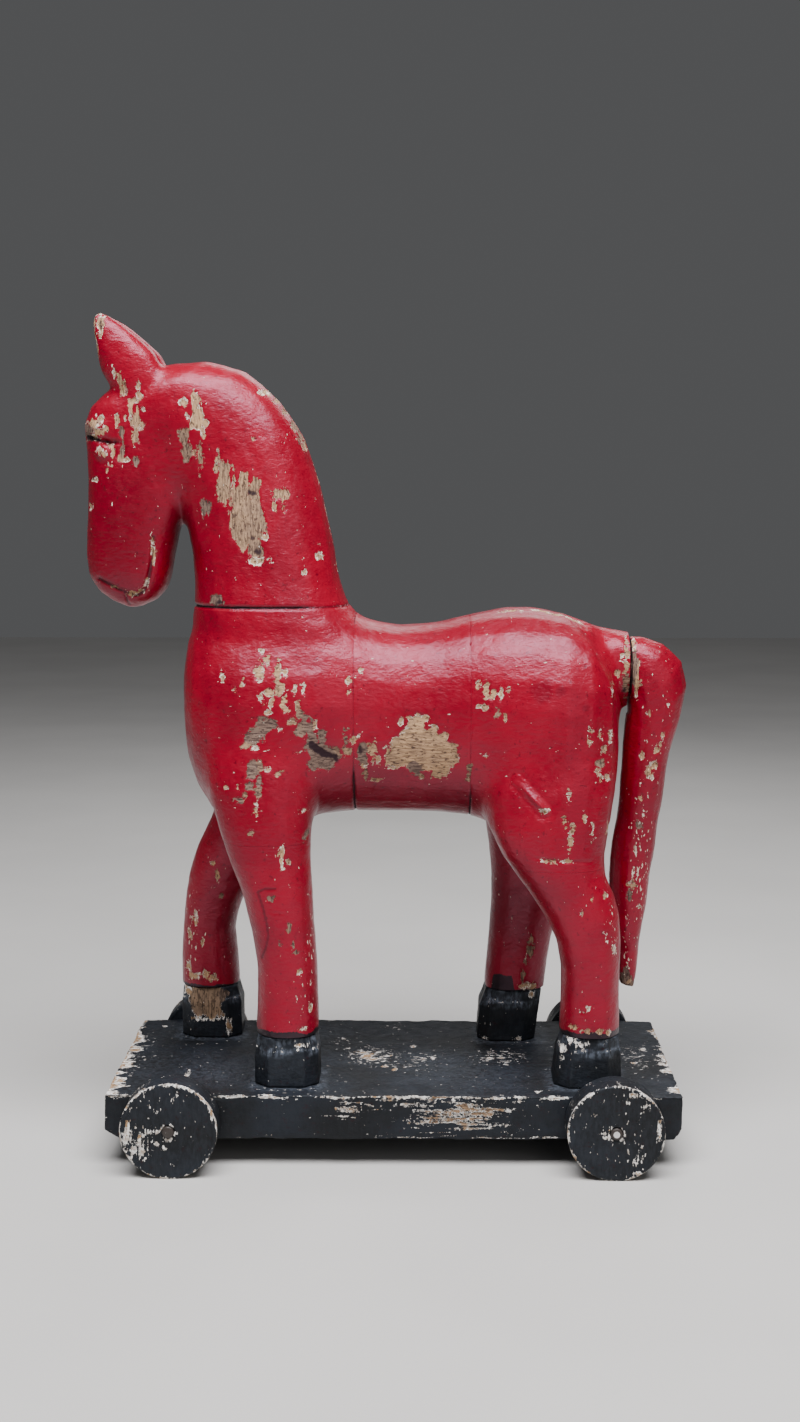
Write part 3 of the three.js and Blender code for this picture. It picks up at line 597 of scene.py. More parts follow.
def cut_along(mesh, cuts):
    """Adds an edge loop where each plane crosses the mesh."""
    middles = faces_of(mesh)[2]
    bm = bmesh.new()
    bm.from_mesh(mesh)
    bm.faces.ensure_lookup_table()
    groups = []
    for point, normal, region in cuts:
        close = np.abs(offset_from(middles, point, normal)) < 3.0
        groups.append([bm.faces[i] for i in np.nonzero(close & region(middles))[0]])
    for (point, normal, _), faces in zip(cuts, groups):
        edges = {e for f in faces for e in f.edges}
        verts = {v for f in faces for v in f.verts}
        bmesh.ops.bisect_plane(
            bm, geom=faces + list(edges) + list(verts), dist=1e-3, plane_co=point, plane_no=normal
        )
    bm.to_mesh(mesh)
    bm.free()


# Lines on the side of the horse: X, Z.
EYE_GROOVE = [(-147.5, 339.5), (-141, 338.2), (-135, 336.6), (-127.5, 336.4)]
MOUTH = [
    (-141, 272.5), (-136, 270), (-132, 267.6), (-127, 266), (-123.5, 264.4), (-120.5, 265.6),
    (-118.3, 268.4), (-117.3, 272), (-116, 277), (-114.8, 283), (-114.3, 292),
]
LIP_CRACK = [(-128.6, 266), (-127.6, 260)]
HAUNCH_HOLLOW = [(90, 256), (97, 246.5), (104.5, 233), (109, 220), (112, 208)]
HAUNCH_RIDGE = [(80, 249), (90, 240), (98, 226), (103, 212), (105, 200)]
FLANK_FOLD = [(57.5, 180.5), (62.5, 175), (70, 167)]
LEG_SCRATCH = [
    (-55, 130), (-60, 130), (-63.3, 128.3), (-61, 121), (-59, 112), (-58.6, 107), (-60, 101), (-62, 96),
]
SIDE_SCRATCH = [(66, 144.8), (78, 143.4), (92, 142.4)]
KNOT = [(-38.5, 196.5), (-34, 193.2), (-27.5, 190.3)]

# Dark holes and dents on the left: X, Z, half-width, half-height. Stains: X, Z, radius.
HOLES = [
    (-64, 286, 2.6, 2.6), (-66.5, 313, 2.8, 1.7), (-66, 292, 2, 1.8), (-65, 281.3, 1.2, 0.8),
    (-57.6, 222.6, 1.4, 0.8), (-36, 283.7, 0.8, 0.8), (-138, 332.3, 1.2, 1), (-15.5, 193, 1.4, 4),
    (110, 219, 1.6, 2), (-137.2, 391.6, 1.1, 3.4), (-82.5, 262, 2.6, 1.3),
]
STAINS = [(69, 222, 6.5), (77, 222, 3.4), (89, 214, 2.2)]


def surface(form):
    """A form's points and normals, its points mirrored to one side, and masks of its sides and its head."""
    p, n = form.points, form.normals
    mirrored = np.column_stack([p[:, 0], np.abs(p[:, 1]), p[:, 2]])
    side = smoothstep(0.2, 0.6, np.abs(n[:, 1]))
    head = (p[:, 0] < -108) & (p[:, 2] < 380)
    return p, n, mirrored, side, head


def carve(form):
    """The carver's details, cut or raised along the surface's own direction."""
    p, n, mirrored, side, head = surface(form)
    x, y, z = p.T
    jaw = head & (z < 300)
    d = 0.18 * layered(p, 17.0, 2, 1.0) + 0.08 * layered(p, 6.0, 2, 2.0)
    # brow and eye
    d += head * 1.1 * near(mirrored, (-140.5, 17, 343.5), (10, 12, 6.5))
    d -= head * 1.0 * near(mirrored, (-134, 18, 333), (12, 12, 9.5))
    d += head * 2.2 * near(mirrored, (-137.2, 18, 331.8), (6.2, 12, 5.6))
    groove = smoothstep(1.9, 0.2, line_distance(x, z, EYE_GROOVE)) * smoothstep(-126, -134, x)
    d -= head * 1.9 * (1.0 + 0.7 * layered(p, 3.0, 2, 17.0)) * side * groove
    # the haunch's round edge, above and behind which the rump falls away to the tail
    hollow = smoothstep(8.0, 1.0, line_distance(x, z, HAUNCH_HOLLOW))
    ridge = smoothstep(9.0, 1.0, line_distance(x, z, HAUNCH_RIDGE))
    d += smoothstep(0.1, 0.5, np.abs(n[:, 1])) * (0.9 * ridge - 2.6 * hollow)
    # mouth
    d -= jaw * 0.9 * side * smoothstep(1.5, 0.1, line_distance(x, z, MOUTH))
    d -= jaw * 0.5 * side * smoothstep(0.9, 0.1, line_distance(x, z, LIP_CRACK))
    # ears: the hollow faces forward, and the tip is chipped off
    hollow = (z > 366) * near(mirrored, (-141, EAR_MIDDLE, 381), (7, 5.2, 13))
    d -= 2.0 * hollow * smoothstep(0.1, 0.6, -n[:, 0])
    d -= 1.8 * (z > 384) * near(mirrored, EAR_TIP, (3.2, 2.6, 3.4))
    # the fold of skin in front of each haunch
    fold = line_distance(x, z, FLANK_FOLD)
    past = smoothstep(166.0, 167.6, z + 0.6 * (x - 70.3))
    flank = (x > 50) & (x < 78) & (z > 158) & (z < 190) & (mirrored[:, 1] > 20)
    d += flank * 1.7 * smoothstep(1.9, 0.3, fold) * past * smoothstep(181, 170, z)
    d -= flank * 0.4 * smoothstep(6.0, 3.0, fold) * smoothstep(2.2, 3.2, fold) * (x < 75)
    # scratches on the left
    d -= ((y < 0) & (z < 135)) * 0.25 * smoothstep(0.9, 0.1, line_distance(x, z, LEG_SCRATCH))
    d -= ((y < 0) & (x > 60)) * 0.35 * smoothstep(1.0, 0.1, line_distance(x, z, SIDE_SCRATCH))
    # joints, more open at the neck's front and low on the body's seams
    open_neck = smoothstep(-34, -46, x) * (x > MUZZLE_REAR)
    d -= (0.25 + 0.75 * open_neck) * smoothstep(1.5, 0.2, np.abs(z - NECK_SEAM)) * (x > MUZZLE_REAR)
    low_front = smoothstep(190, 178, z) * (z > 152)
    d -= (0.1 + 0.6 * low_front) * smoothstep(1.1, 0.1, np.abs(x - FRONT_SEAM)) * (z > 152)
    low_rear = smoothstep(182, 168, z) * (z > 140)
    d -= (0.06 + 0.4 * low_rear) * smoothstep(1.1, 0.1, np.abs(x - REAR_SEAM)) * (z > 140)
    form.push(d)


def lost_paint(p, n, mirrored, ragged):
    """Where the horse's paint is lost: the patches, the ears' tips and rims, and the crest of the neck."""
    x, y, z = p.T
    inner_leg = (y > 6) & (z < 150) & (n[:, 1] < 0.25)
    worn = wear(x, z, LEFT_PATCHES, ragged, y < 2)
    worn = merge(worn, *wear(x, z, INNER_PATCHES, ragged, inner_leg))
    worn = merge(worn, *wear(x, z, right_patches(), ragged, (y > 2) & ~inner_leg))
    worn = merge(worn, *wear(x, y, TOP_PATCHES, ragged, (n[:, 2] > 0.4) & (z > 235) & (x > -30)))
    ear_tip = near(mirrored, (-139.5, EAR_MIDDLE, 393), (4.4, 4.4, 9))
    worn = merge(worn, ear_tip * 2.2 - 0.7 + ragged * 0.5, 0.3, ear_tip > 0)
    ear_rim = 0.9 - 0.8 * np.abs(x + 141.3) + 0.6 * ragged
    worn = merge(worn, ear_rim, 0.1, (z > 371) & (z < 396))
    crest = 0.2 - np.abs(y + 1.0) * 0.55 + 0.9 * layered(p, (6, 3, 6), 3, 9.0)
    return merge(worn, crest, 0.15, (x > -70) & (x < -22) & (z > 275) & (n[:, 0] + n[:, 2] > 0.6))


def horse_dirt_and_shade(p, mirrored, side, head, ragged):
    """Grime in cracks and open joints, the eye groove and mouth darkened, and painted shade on head, throat
    and belly.
    """
    x, y, z = p.T
    left = y < 0
    jaw = head & (z < 300)
    broken = smoothstep(-0.3, 0.5, layered(p, (9, 9, 9), 2, 15.0))
    open_neck = 0.35 + 0.65 * smoothstep(-34, -46, x)
    open_front = np.maximum(0.14 * broken, smoothstep(188, 178, z))
    open_rear = np.maximum(0.11 * broken, smoothstep(178, 166, z))
    brow = line_distance(x, z, EYE_GROOVE) + 0.8 * ragged + 0.10 * (x + 142)
    lips = np.minimum(line_distance(x, z, MOUTH), line_distance(x, z, LIP_CRACK)) + 0.4 * ragged
    # where painted shade darkens the underside of the body
    belly_shade = smoothstep(48, 34, np.abs(x)) * smoothstep(146, 160, z) * smoothstep(196, 164, z)
    layers = [
        open_neck * smoothstep(0.75, 0.15, np.abs(z - NECK_SEAM)) * (x > MUZZLE_REAR),
        smoothstep(0.7, 0.1, np.abs(x - FRONT_SEAM)) * (z > 152) * open_front,
        smoothstep(0.6, 0.1, np.abs(x - REAR_SEAM)) * (z > 140) * open_rear,
        head * 0.85 * side * smoothstep(2.0, 0.3, brow),
        jaw * 0.55 * side * smoothstep(0.9, 0.2, lips),
        0.9 * near(mirrored, EAR_TIP, (2.6, 2.2, 3.0)),
        (left & (z < 135)) * 0.32 * smoothstep(0.8, 0.2, line_distance(x, z, LEG_SCRATCH)),
        left * 0.85 * smoothstep(2.6, 0.4, line_distance(x, z, KNOT) + 1.3 * ragged),
        # painted shade: the whole head a little darker, as if in shadow
        0.17 * near(mirrored, (-130, 18, 296), (36, 60, 72)),
        # painted shadow at the throat, under the jaw
        0.22 * near(mirrored, (-103, 10, 284), (15, 34, 44)),
        # painted shade under the belly
        0.15 * belly_shade,
    ]
    for cx, cz, rx, rz in HOLES:
        q = np.hypot((x - cx) / rx, (z - cz) / rz) - 0.55 * ragged
        layers.append(left * 0.66 * smoothstep(1.2, 0.3, q))
    for cx, cz, radius in STAINS:
        q = np.hypot(x - cx, z - cz) / radius + 0.2 * ragged
        layers.append(left * 0.12 * smoothstep(1.2, 0.5, q))
    return np.maximum.reduce(layers)


def paint_horse(form):
    p, n, mirrored, side, head = surface(form)
    x, y, z = p.T
    upright = (z > NECK_SEAM) | (z < 150)
    ragged = np.where(upright, ragged_noise(p, 2.8), ragged_noise(p, 1.5))
    # black paint below a wavy line above each hoof, with a blob on the right rear leg
    border = np.where(y < 0, 60.9, 61.8) + 1.3 * layered(p, (7, 7, 30), 2, 12.0)
    blob = near(p, (54.5, 25, 67), (7.5, 14, 30))
    border += 7.0 * smoothstep(0.05, 0.3, blob) * (y > 0) * (x > 0)
    return paint_values(
        lost_paint(p, n, mirrored, ragged), fleck_amount(x, z, LEFT_FLECKS, y < 60, 0.03),
        horse_dirt_and_shade(p, mirrored, side, head, ragged), border - z,
    )


def joined_horse():
    """The horse's blocks and ears as one smooth form, before it is carved."""
    form = Form(remeshed(cad_mesh(BLOCKS + [f"leg_{leg}" for leg in CORNERS], GROW, draw_out), COARSE))
    sand(form, rounds=40)
    p = form.points
    throat = near(p, (-101, 0, 300), (16, 40, 30))
    ears = smoothstep(352, 360, p[:, 2]) * smoothstep(-100, -108, p[:, 0])
    fair(form, rounds=120, weight=(1 - 0.9 * throat) * (1 - 0.9 * ears))
    head = smoothstep(-100, -112, p[:, 0])
    even_out(form, size=4.5, rounds=260, weight=(1 - throat) * (1 - 0.75 * head) * (1 - ears))
    sand(form, rounds=20)
    return Form(with_modifier(form.mesh, "SUBSURF", levels=1, render_levels=1))


def flatten(form, rims):
    """Puts the points of each cut's edge loop back on its plane."""
    p = form.points
    for point, normal, index in rims:
        p[index] -= offset_from(p[index], point, normal).reshape(-1, 1) * np.asarray(normal, float)
    form.points = p


horse = joined_horse()
cuts = cut_planes()
cut_along(horse.mesh, cuts)
p = horse.points
rims = []
for point, normal, region in cuts:
    on_plane = np.abs(offset_from(p, point, normal)) < 2e-3
    rims.append((point, normal, np.nonzero(on_plane & region(p))[0]))
middles = faces_of(horse.mesh)[2]
carve(horse)
values = paint_horse(horse)
recess(horse, values, CHIP)
flatten(horse, rims)
horse.store(**values, **dict(zip(WHOLE_NORMAL, horse.normals.T)))


# ---- Materials ----


class Shader:
    """A node material, built one socket at a time."""

    def __init__(self, name):
        self.material = bpy.data.materials.new(name)
        self.material.use_nodes = True
        self.nodes = self.material.node_tree.nodes
        self.surface = self.nodes["Principled BSDF"]
        self.place = self.nodes.new("ShaderNodeTexCoord").outputs["Object"]

    def link(self, source, target):
        self.material.node_tree.links.new(source, target)

    def feed(self, target, value):
        if isinstance(value, bpy.types.NodeSocket):
            self.link(value, target)
        elif target.type == "RGBA":
            target.default_value = (*value, 1.0)
        else:
            target.default_value = value

    def attr(self, name):
        node = self.nodes.new("ShaderNodeAttribute")
        node.attribute_name = name
        return node.outputs["Fac"]

    def scaled(self, stretch):
        node = self.nodes.new("ShaderNodeMapping")
        node.inputs["Scale"].default_value = stretch
        self.link(self.place, node.inputs["Vector"])
        return node.outputs["Vector"]

    def noise(self, size, detail=2.0, rough=0.5, stretch=None):
        """Noise from about 0.3 to 0.7, with features of size millimetres."""
        node = self.nodes.new("ShaderNodeTexNoise")
        node.inputs["Scale"].default_value = 1000.0 / size
        node.inputs["Detail"].default_value = detail
        node.inputs["Roughness"].default_value = rough
        self.link(self.scaled(stretch) if stretch else self.place, node.inputs["Vector"])
        return node.outputs["Fac"]

    def math(self, operation, a, b=0.0, c=0.0):
        node = self.nodes.new("ShaderNodeMath")
        node.operation = operation
        for socket, value in zip(node.inputs, (a, b, c)):
            self.feed(socket, value)
        return node.outputs["Value"]

    def times(self, a, b, plus=0.0):
        return self.math("MULTIPLY_ADD", a, b, plus)

    def swing(self, value, amount, around=0.0):
        """Noise centred on zero, scaled, and added to another value."""
        return self.times(self.math("SUBTRACT", value, 0.5), amount, around)

    def ramp(self, value, low, high, to_low=0.0, to_high=1.0):
        node = self.nodes.new("ShaderNodeMapRange")
        node.interpolation_type = "SMOOTHSTEP"
        for name, number in (("From Min", low), ("From Max", high), ("To Min", to_low), ("To Max", to_high)):
            self.feed(node.inputs[name], number)
        self.feed(node.inputs["Value"], value)
        return node.outputs["Result"]

    def mix(self, factor, a, b):
        """A mix of two colours; sockets 6, 7 and 2 are the mix node's colour ones."""
        node = self.nodes.new("ShaderNodeMix")
        node.data_type = "RGBA"
        self.feed(node.inputs["Factor"], factor)
        self.feed(node.inputs[6], a)
        self.feed(node.inputs[7], b)
        return node.outputs[2]

    def bump(self, height, metres):
        """Relief from a height, of which one unit is this many metres."""
        node = self.nodes.new("ShaderNodeBump")
        node.inputs["Strength"].default_value = 1.0
        node.inputs["Distance"].default_value = 1.0
        self.feed(node.inputs["Height"], self.math("MULTIPLY", height, metres))
        self.link(node.outputs["Normal"], self.surface.inputs["Normal"])

    def finish(self, **sockets):
        for name, value in sockets.items():
            self.feed(self.surface.inputs[name.replace("_", " ")], value)
        return self.material


CREAM = (0.72, 0.63, 0.52)
CHALK = (0.80, 0.77, 0.72)
SOILED = (0.30, 0.22, 0.15)
TAN = (0.50, 0.31, 0.16)
GREY_WOOD = (0.19, 0.13, 0.095)
DARK_WOOD = (0.035, 0.022, 0.016)
RED = (0.255, 0.0, 0.013)
DEEP_RED = (0.17, 0.0, 0.009)
# darker red: painted shade on the horse's head, throat and belly, and the fringe of grime
SHADE_AND_GRIME_RED = (0.085, 0.0, 0.005)
RED_SHEEN = (1.0, 0.58, 0.74)
BLACK_SHEEN = (0.90, 0.95, 1.0)
SOOT = (0.02, 0.002, 0.003)
GRIME = (0.010, 0.006, 0.006)
BLACK = (0.0075, 0.0078, 0.0085)
BLUE_BLACK = (0.0125, 0.015, 0.020)
# pale bluish bloom on black paint, also used as painted sheen on the hooves' collars
BLOOM_AND_SHEEN = (0.16, 0.185, 0.23)
PINE = (0.42, 0.27, 0.14)
PINE_RING = (0.24, 0.13, 0.06)
BRIGHT_STEEL = (0.80, 0.78, 0.75)
RUST = (0.03, 0.022, 0.018)
GRAIN = {"X": (0.12, 1.0, 1.0), "Z": (1.0, 1.0, 0.12)}
PORE = {"X": (0.4, 1.0, 1.0), "Z": (1.0, 1.0, 0.4)}
EDGE = 0.04  # half the width of a chip's edge, in millimetres
FINE_RELIEF = 0.00012  # metres


def bare_wood(s, tone, grain):
    """Old bare wood's colour and its height in millimetres."""
    streaks = s.noise(0.8, 4.0, 0.65, GRAIN[grain])
    pores = s.ramp(s.noise(0.9, 2.0, 0.6, PORE[grain]), 0.56, 0.64)
    colour = s.mix(s.ramp(tone, 0.30, 0.8), TAN, GREY_WOOD)
    colour = s.mix(s.ramp(s.noise(6.0, 3.0, 0.6), 0.35, 0.7, 0.0, 0.4), colour, GREY_WOOD)
    depth = s.ramp(tone, 0.2, 0.6, 0.35, 0.8)
    colour = s.mix(s.math("MULTIPLY", s.ramp(streaks, 0.44, 0.64), depth), colour, DARK_WOOD)
    colour = s.mix(s.math("MULTIPLY", pores, 0.8), colour, DARK_WOOD)
    return colour, s.times(streaks, -0.5, s.math("MULTIPLY", pores, -0.08))


def red_coat(s, broad, patchy, fine):
    """Red paint in uneven shades, darkened by grime and by painted shade, with black from the hoof up to a
    ragged line.
    """
    paint = s.mix(s.ramp(broad, 0.36, 0.62, 0.35, 1.0), DEEP_RED, RED)
    paint = s.mix(s.ramp(patchy, 0.54, 0.76, 0.0, 0.35), paint, DEEP_RED)
    # painted shade: low grime-and-shade values darken the red on the head, throat and belly, and at the
    # fringes of grime
    paint = s.mix(s.ramp(s.attr("dirt_and_shade"), 0.0, 0.2, 0.0, 0.7), paint, SHADE_AND_GRIME_RED)
    return s.mix(s.ramp(s.swing(fine, 2.2, s.attr("black")), -2 * EDGE, 2 * EDGE), paint, BLACK)


def black_coat(s, broad, patchy):
    """Black paint in uneven shades, with a pale bloom: rubbed paint, and painted sheen on the hooves'
    collars.
    """
    paint = s.mix(s.ramp(broad, 0.35, 0.65), BLACK, BLUE_BLACK)
    paint = s.mix(s.ramp(patchy, 0.5, 0.7, 0.0, 0.5), paint, BLACK)
    rub = s.noise(1.6, 4.0, 0.7, (1.0, 1.0, 0.35))
    # pale bluish bloom: rubbed paint, and painted sheen on the hooves' upward-facing collars
    return s.mix(s.math("MULTIPLY", s.attr("bloom_and_sheen"), s.ramp(rub, 0.34, 0.68)), paint, BLOOM_AND_SHEEN)


def old_paint(name, grain, red):
    """Thick old paint, chipped down to pale undercoat and bare wood, from the values kept on the form."""
    s = Shader(name)
    tone = s.attr("tone")
    fine = s.noise(1.5, 4.0, 0.72)
    split = s.noise(2.2, 3.0, 0.6, PORE[grain]) if red else s.noise(1.3, 3.0, 0.65, GRAIN[grain])
    broad = s.noise(34.0, 3.0, 0.5)
    patchy = s.noise(7.0, 3.0, 0.6)

    # the undercoat shows as a rim around the bare wood, wider where the tone is low
    jagged = s.swing(split, 5.0, s.swing(fine, 5.0, s.attr("loss")))
    undercoat = s.ramp(jagged, -EDGE, EDGE)
    width = s.math("MAXIMUM", s.times(tone, -2.2, 1.15 if red else 1.6), 0.0)
    uneven = s.noise(4.5, 2.0, 0.5)
    rim = s.math("MULTIPLY", width, s.ramp(uneven, 0.40, 0.62) if red else s.ramp(uneven, 0.30, 0.5))
    wood = s.ramp(s.math("SUBTRACT", jagged, rim), -EDGE, EDGE)
    specks = s.times(s.attr("flecks"), 0.175 if red else 0.19, s.noise(1.25, 2.0, 0.6, PORE[grain]))
    fleck = s.ramp(specks, 0.735, 0.75)
    chipped = s.math("MAXIMUM", undercoat, fleck)

    paint = red_coat(s, broad, patchy, fine) if red else black_coat(s, broad, patchy)
    paint = s.mix(s.ramp(s.noise(2.4, 3.0, 0.7), 0.6, 0.7, 0.0, 0.5), paint, SOOT)
    wood_colour, wood_height = bare_wood(s, tone, grain)
    soil = s.ramp(s.noise(2.0, 3.0, 0.6), 0.42, 0.70, 0.0, 0.8)
    pale = s.mix(soil, CREAM if red else CHALK, SOILED)
    colour = s.mix(wood, s.mix(undercoat, paint, pale), wood_colour)
    # mostly grime; the painted shade on the head, throat and belly reaches this only faintly
    grime_and_shade = s.swing(fine, 0.5, s.attr("dirt_and_shade"))
    colour = s.mix(s.ramp(grime_and_shade, 0.2, 0.75), s.mix(fleck, colour, pale), GRIME)

    wrinkle = s.noise(1.8, 3.0, 0.6, (0.7, 1.0, 1.2))
    skin = s.times(wrinkle, 0.30, s.math("MULTIPLY", s.noise(8.0, 2.0, 0.5), 0.5))
    height = s.times(chipped, -0.11, skin)
    s.bump(s.times(wood, s.math("SUBTRACT", wood_height, 0.08), height), MM)

    if red:
        gloss = s.ramp(s.noise(4.0, 3.0, 0.6), 0.35, 0.7, 0.28, 0.40)
    else:
        gloss = s.ramp(patchy, 0.35, 0.7, 0.42, 0.6)
    dull = s.math("MAXIMUM", chipped, s.ramp(grime_and_shade, 0.2, 0.7))
    return s.finish(
        Base_Color=colour, Roughness=s.math("MAXIMUM", gloss, s.math("MULTIPLY", dull, 0.85)),
        Specular_IOR_Level=0.55 if red else 0.22, Specular_Tint=RED_SHEEN if red else BLACK_SHEEN,
    )


def raw_wood(name, grain):
    """Clean-cut pine for the dowels and the glued faces."""
    s = Shader(name)
    rings = s.noise(3.2, 4.0, 0.6, GRAIN[grain])
    s.bump(s.noise(0.7, 3.0, 0.6, GRAIN[grain]), FINE_RELIEF)
    return s.finish(Base_Color=s.mix(s.ramp(rings, 0.35, 0.65), PINE, PINE_RING), Roughness=0.78)


def old_steel(name, rust, rubbed=False):
    """Nail steel browned with rust; rubbed heads are bright where the value "rubbed" says so."""
    s = Shader(name)
    spots = s.noise(1.1, 4.0, 0.65)
    cover = s.ramp(spots, 0.62 - 0.3 * rust, 0.74 - 0.3 * rust)
    if rubbed:
        cover = s.math("SUBTRACT", 1.0, s.ramp(s.math("ADD", s.attr("rubbed"), spots), 0.9, 1.05))
    s.bump(s.noise(0.9, 3.0, 0.6), FINE_RELIEF)
    return s.finish(
        Base_Color=s.mix(cover, BRIGHT_STEEL, RUST), Metallic=s.math("SUBTRACT", 1.0, cover),
        Roughness=s.ramp(spots, 0.3, 0.7, 0.28, 0.6),
    )


RED_PAINT = {
    "Z": old_paint("red_paint_upright_grain", "Z", True), "X": old_paint("red_paint_level_grain", "X", True),
}
BLACK_UPRIGHT = old_paint("black_paint_upright_grain", "Z", False)
BLACK_LEVEL = old_paint("black_paint_level_grain", "X", False)
CUT_WOOD = {axis: raw_wood(f"cut_wood_{axis.lower()}", axis) for axis in ("X", "Z")}
RUBBED_STEEL = old_steel("rubbed_steel", 0.1, True)
DULL_STEEL = old_steel("dull_steel", 0.8)


# ---- Making pieces ----

ON_PLANE = 5e-3  # how near a cut its points lie
HOLE_SIDES = 24
SCREW_HOLE = 2.3  # radius
DOWEL_ROOM = 0.3  # between a dowel and its hole
HOLE_ROOM = 0.6  # between a dowel's or a screw's end and the bottom of its hole
PAINTED_SEAM = 0.04  # the hairline left where paint bridges a joint
CUT_FACE = 1  # the material slot of glued faces


def piece(name, mesh, materials, nodes, body=ROOT):
    """Puts a form into the scene, in metres, in place of its CAD nodes."""
    points = np.clip((read(mesh.vertices, "co", 3) + SHIFT) * MM, *[np.array(v) for v in cad_box])
    mesh.vertices.foreach_set("co", points.astype(np.float32).ravel())
    mesh.update()
    mesh.materials.clear()
    for material in materials:
        mesh.materials.append(material)
    ob = bpy.data.objects.new(name, mesh)
    bpy.context.scene.collection.objects.link(ob)
    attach(ob, body)
    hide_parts(*nodes)


def painted_piece(name, form, values, paint, body=ROOT):
    """A form in one old paint, with the values that it reads."""
    form.store(**values)
    form.mesh.shade_smooth()
    piece(name, form.mesh, [paint], [name], body)


def cut(point, normal, *fasteners):
    """A plane between two blocks, and a round hole for each dowel or screw that crosses it: its middle, its
    radius, and its depth on each side of the cut."""
    axis = int(np.argmax(np.abs(normal)))
    holes = []
    for name in fasteners:
        low, high = node_box(name)
        level = point[axis]
        middle = (low + high) / 2
        middle[axis] = level
        radius = np.delete(high - low, axis).min() / 2 + DOWEL_ROOM
        if "screw" in name:
            radius = SCREW_HOLE
        holes.append((middle, radius, {1: high[axis] - level + HOLE_ROOM, -1: level - low[axis] + HOLE_ROOM}))
    return Vector(point), Vector(normal), holes


def close_cut(bm, point, normal, holes, outward):
    """Caps the open edge that lies on a plane, leaving a blind hole for each dowel or screw."""
    rim = [e for e in bm.edges if len(e.link_faces) == 1
           and all(abs((v.co - point).dot(normal)) < ON_PLANE for v in e.verts)]
    if not rim:
        return
    out = normal * outward
    side = out.orthogonal().normalized()
    up = out.cross(side)
    rings = []
    for middle, radius, depths in holes:
        turn = [2 * math.pi * (k + 0.5) / HOLE_SIDES for k in range(HOLE_SIDES)]
        around = [Vector(middle) + side * radius * math.cos(t) + up * radius * math.sin(t) for t in turn]
        ring = [bm.verts.new(place) for place in around]
        rings.append((ring, depths[-outward]))
        rim += [bm.edges.new((a, b)) for a, b in zip(ring, ring[1:] + ring[:1])]
    made = bmesh.ops.triangle_fill(bm, use_beauty=True, use_dissolve=False, edges=rim, normal=out)
    for face in made["geom"]:
        if not isinstance(face, bmesh.types.BMFace):
            continue
        face.normal_update()
        if face.normal.dot(out) < 0:
            face.normal_flip()
        face.material_index = CUT_FACE
        face.smooth = False
        for e in face.edges:
            e.smooth = False
    for ring, depth in rings:
        bottom_ring = [bm.verts.new(v.co - out * depth) for v in ring]
        for k in range(HOLE_SIDES):
            j = (k + 1) % HOLE_SIDES
            wall = bm.faces.new((ring[k], ring[j], bottom_ring[j], bottom_ring[k]))
            wall.material_index = CUT_FACE
            wall.smooth = True
        bottom = bm.faces.new(bottom_ring)
        bottom.material_index = CUT_FACE
        bottom.smooth = False


def keep_normals(mesh):
    """Shades the painted faces with the uncut horse's normals; the cut faces keep their own."""
    whole = []
    for name in WHOLE_NORMAL:
        whole.append(read(mesh.attributes[name].data, "value", 1, np.float32))
        mesh.attributes.remove(mesh.attributes[name])
    corners, starts, _ = faces_of(mesh)
    on_cut = read(mesh.polygons, "material_index", 1, np.int32) == CUT_FACE
    normals = np.column_stack(whole)[corners]
    normals[np.repeat(on_cut, np.diff(np.append(starts, len(corners))))] = 0.0
    mesh.normals_split_custom_set(normals)


def block(name, chosen, cuts_here, grain):
    """Cuts one block out of the horse and closes its cut faces; each cut is nudged back a little."""
    mesh = part_of(horse, chosen).mesh
    bm = bmesh.new()
    bm.from_mesh(mesh)
    for f in bm.faces:
        f.smooth = True
    for (point, normal, holes), outward in cuts_here:
        close_cut(bm, point, normal, holes, outward)
        back = normal * (-outward * PAINTED_SEAM)
        for v in bm.verts:
            if abs((v.co - point).dot(normal)) < ON_PLANE:
                v.co += back
    bm.to_mesh(mesh)
    bm.free()
    keep_normals(mesh)
    piece(name, mesh, [RED_PAINT[grain], CUT_WOOD[grain]], [name])


def level_cut(height, *fasteners):
    return cut((0, 0, height), (0, 0, 1), *fasteners)


def cross_cut(x, *fasteners):
    return cut((x, 0, 0), (1, 0, 0), *fasteners)


ear_cut = cut(tuple(EAR_SEAT), tuple(EAR_SEAT_NORMAL))
neck_cut = level_cut(NECK_SEAM, "neck_dowel")
front_cut = cross_cut(FRONT_SEAM, "body_dowel_front_upper", "body_dowel_front_lower")
rear_cut = cross_cut(REAR_SEAM, "body_dowel_rear_upper", "body_dowel_rear_lower")
tail_cut = cross_cut(TAIL_SEAM, "tail_dowel")
hip_cuts = {end: level_cut(LEG_SEAMS[f"{end}_left"], *[f"leg_dowel_{end}_{side}" for side in SIDES])
            for end in ("front", "rear")}

x, y, z = middles.T
ear = (offset_from(middles, EAR_SEAT, EAR_SEAT_NORMAL) > 0) & (x < EAR_REAR)
neck_and_head = ((z > NECK_SEAM) | (x < MUZZLE_REAR)) & (z > 200) & ~ear
body = (z < NECK_SEAM) & ~neck_and_head & ~ear & (x < TAIL_SEAM)
front_legs = body & (x < MID_LEGS) & (z < LEG_SEAMS["front_left"])
rear_legs = body & (x >= MID_LEGS) & (z < LEG_SEAMS["rear_left"])
torso = body & ~front_legs & ~rear_legs
front = x < FRONT_SEAM
rear = x > REAR_SEAM

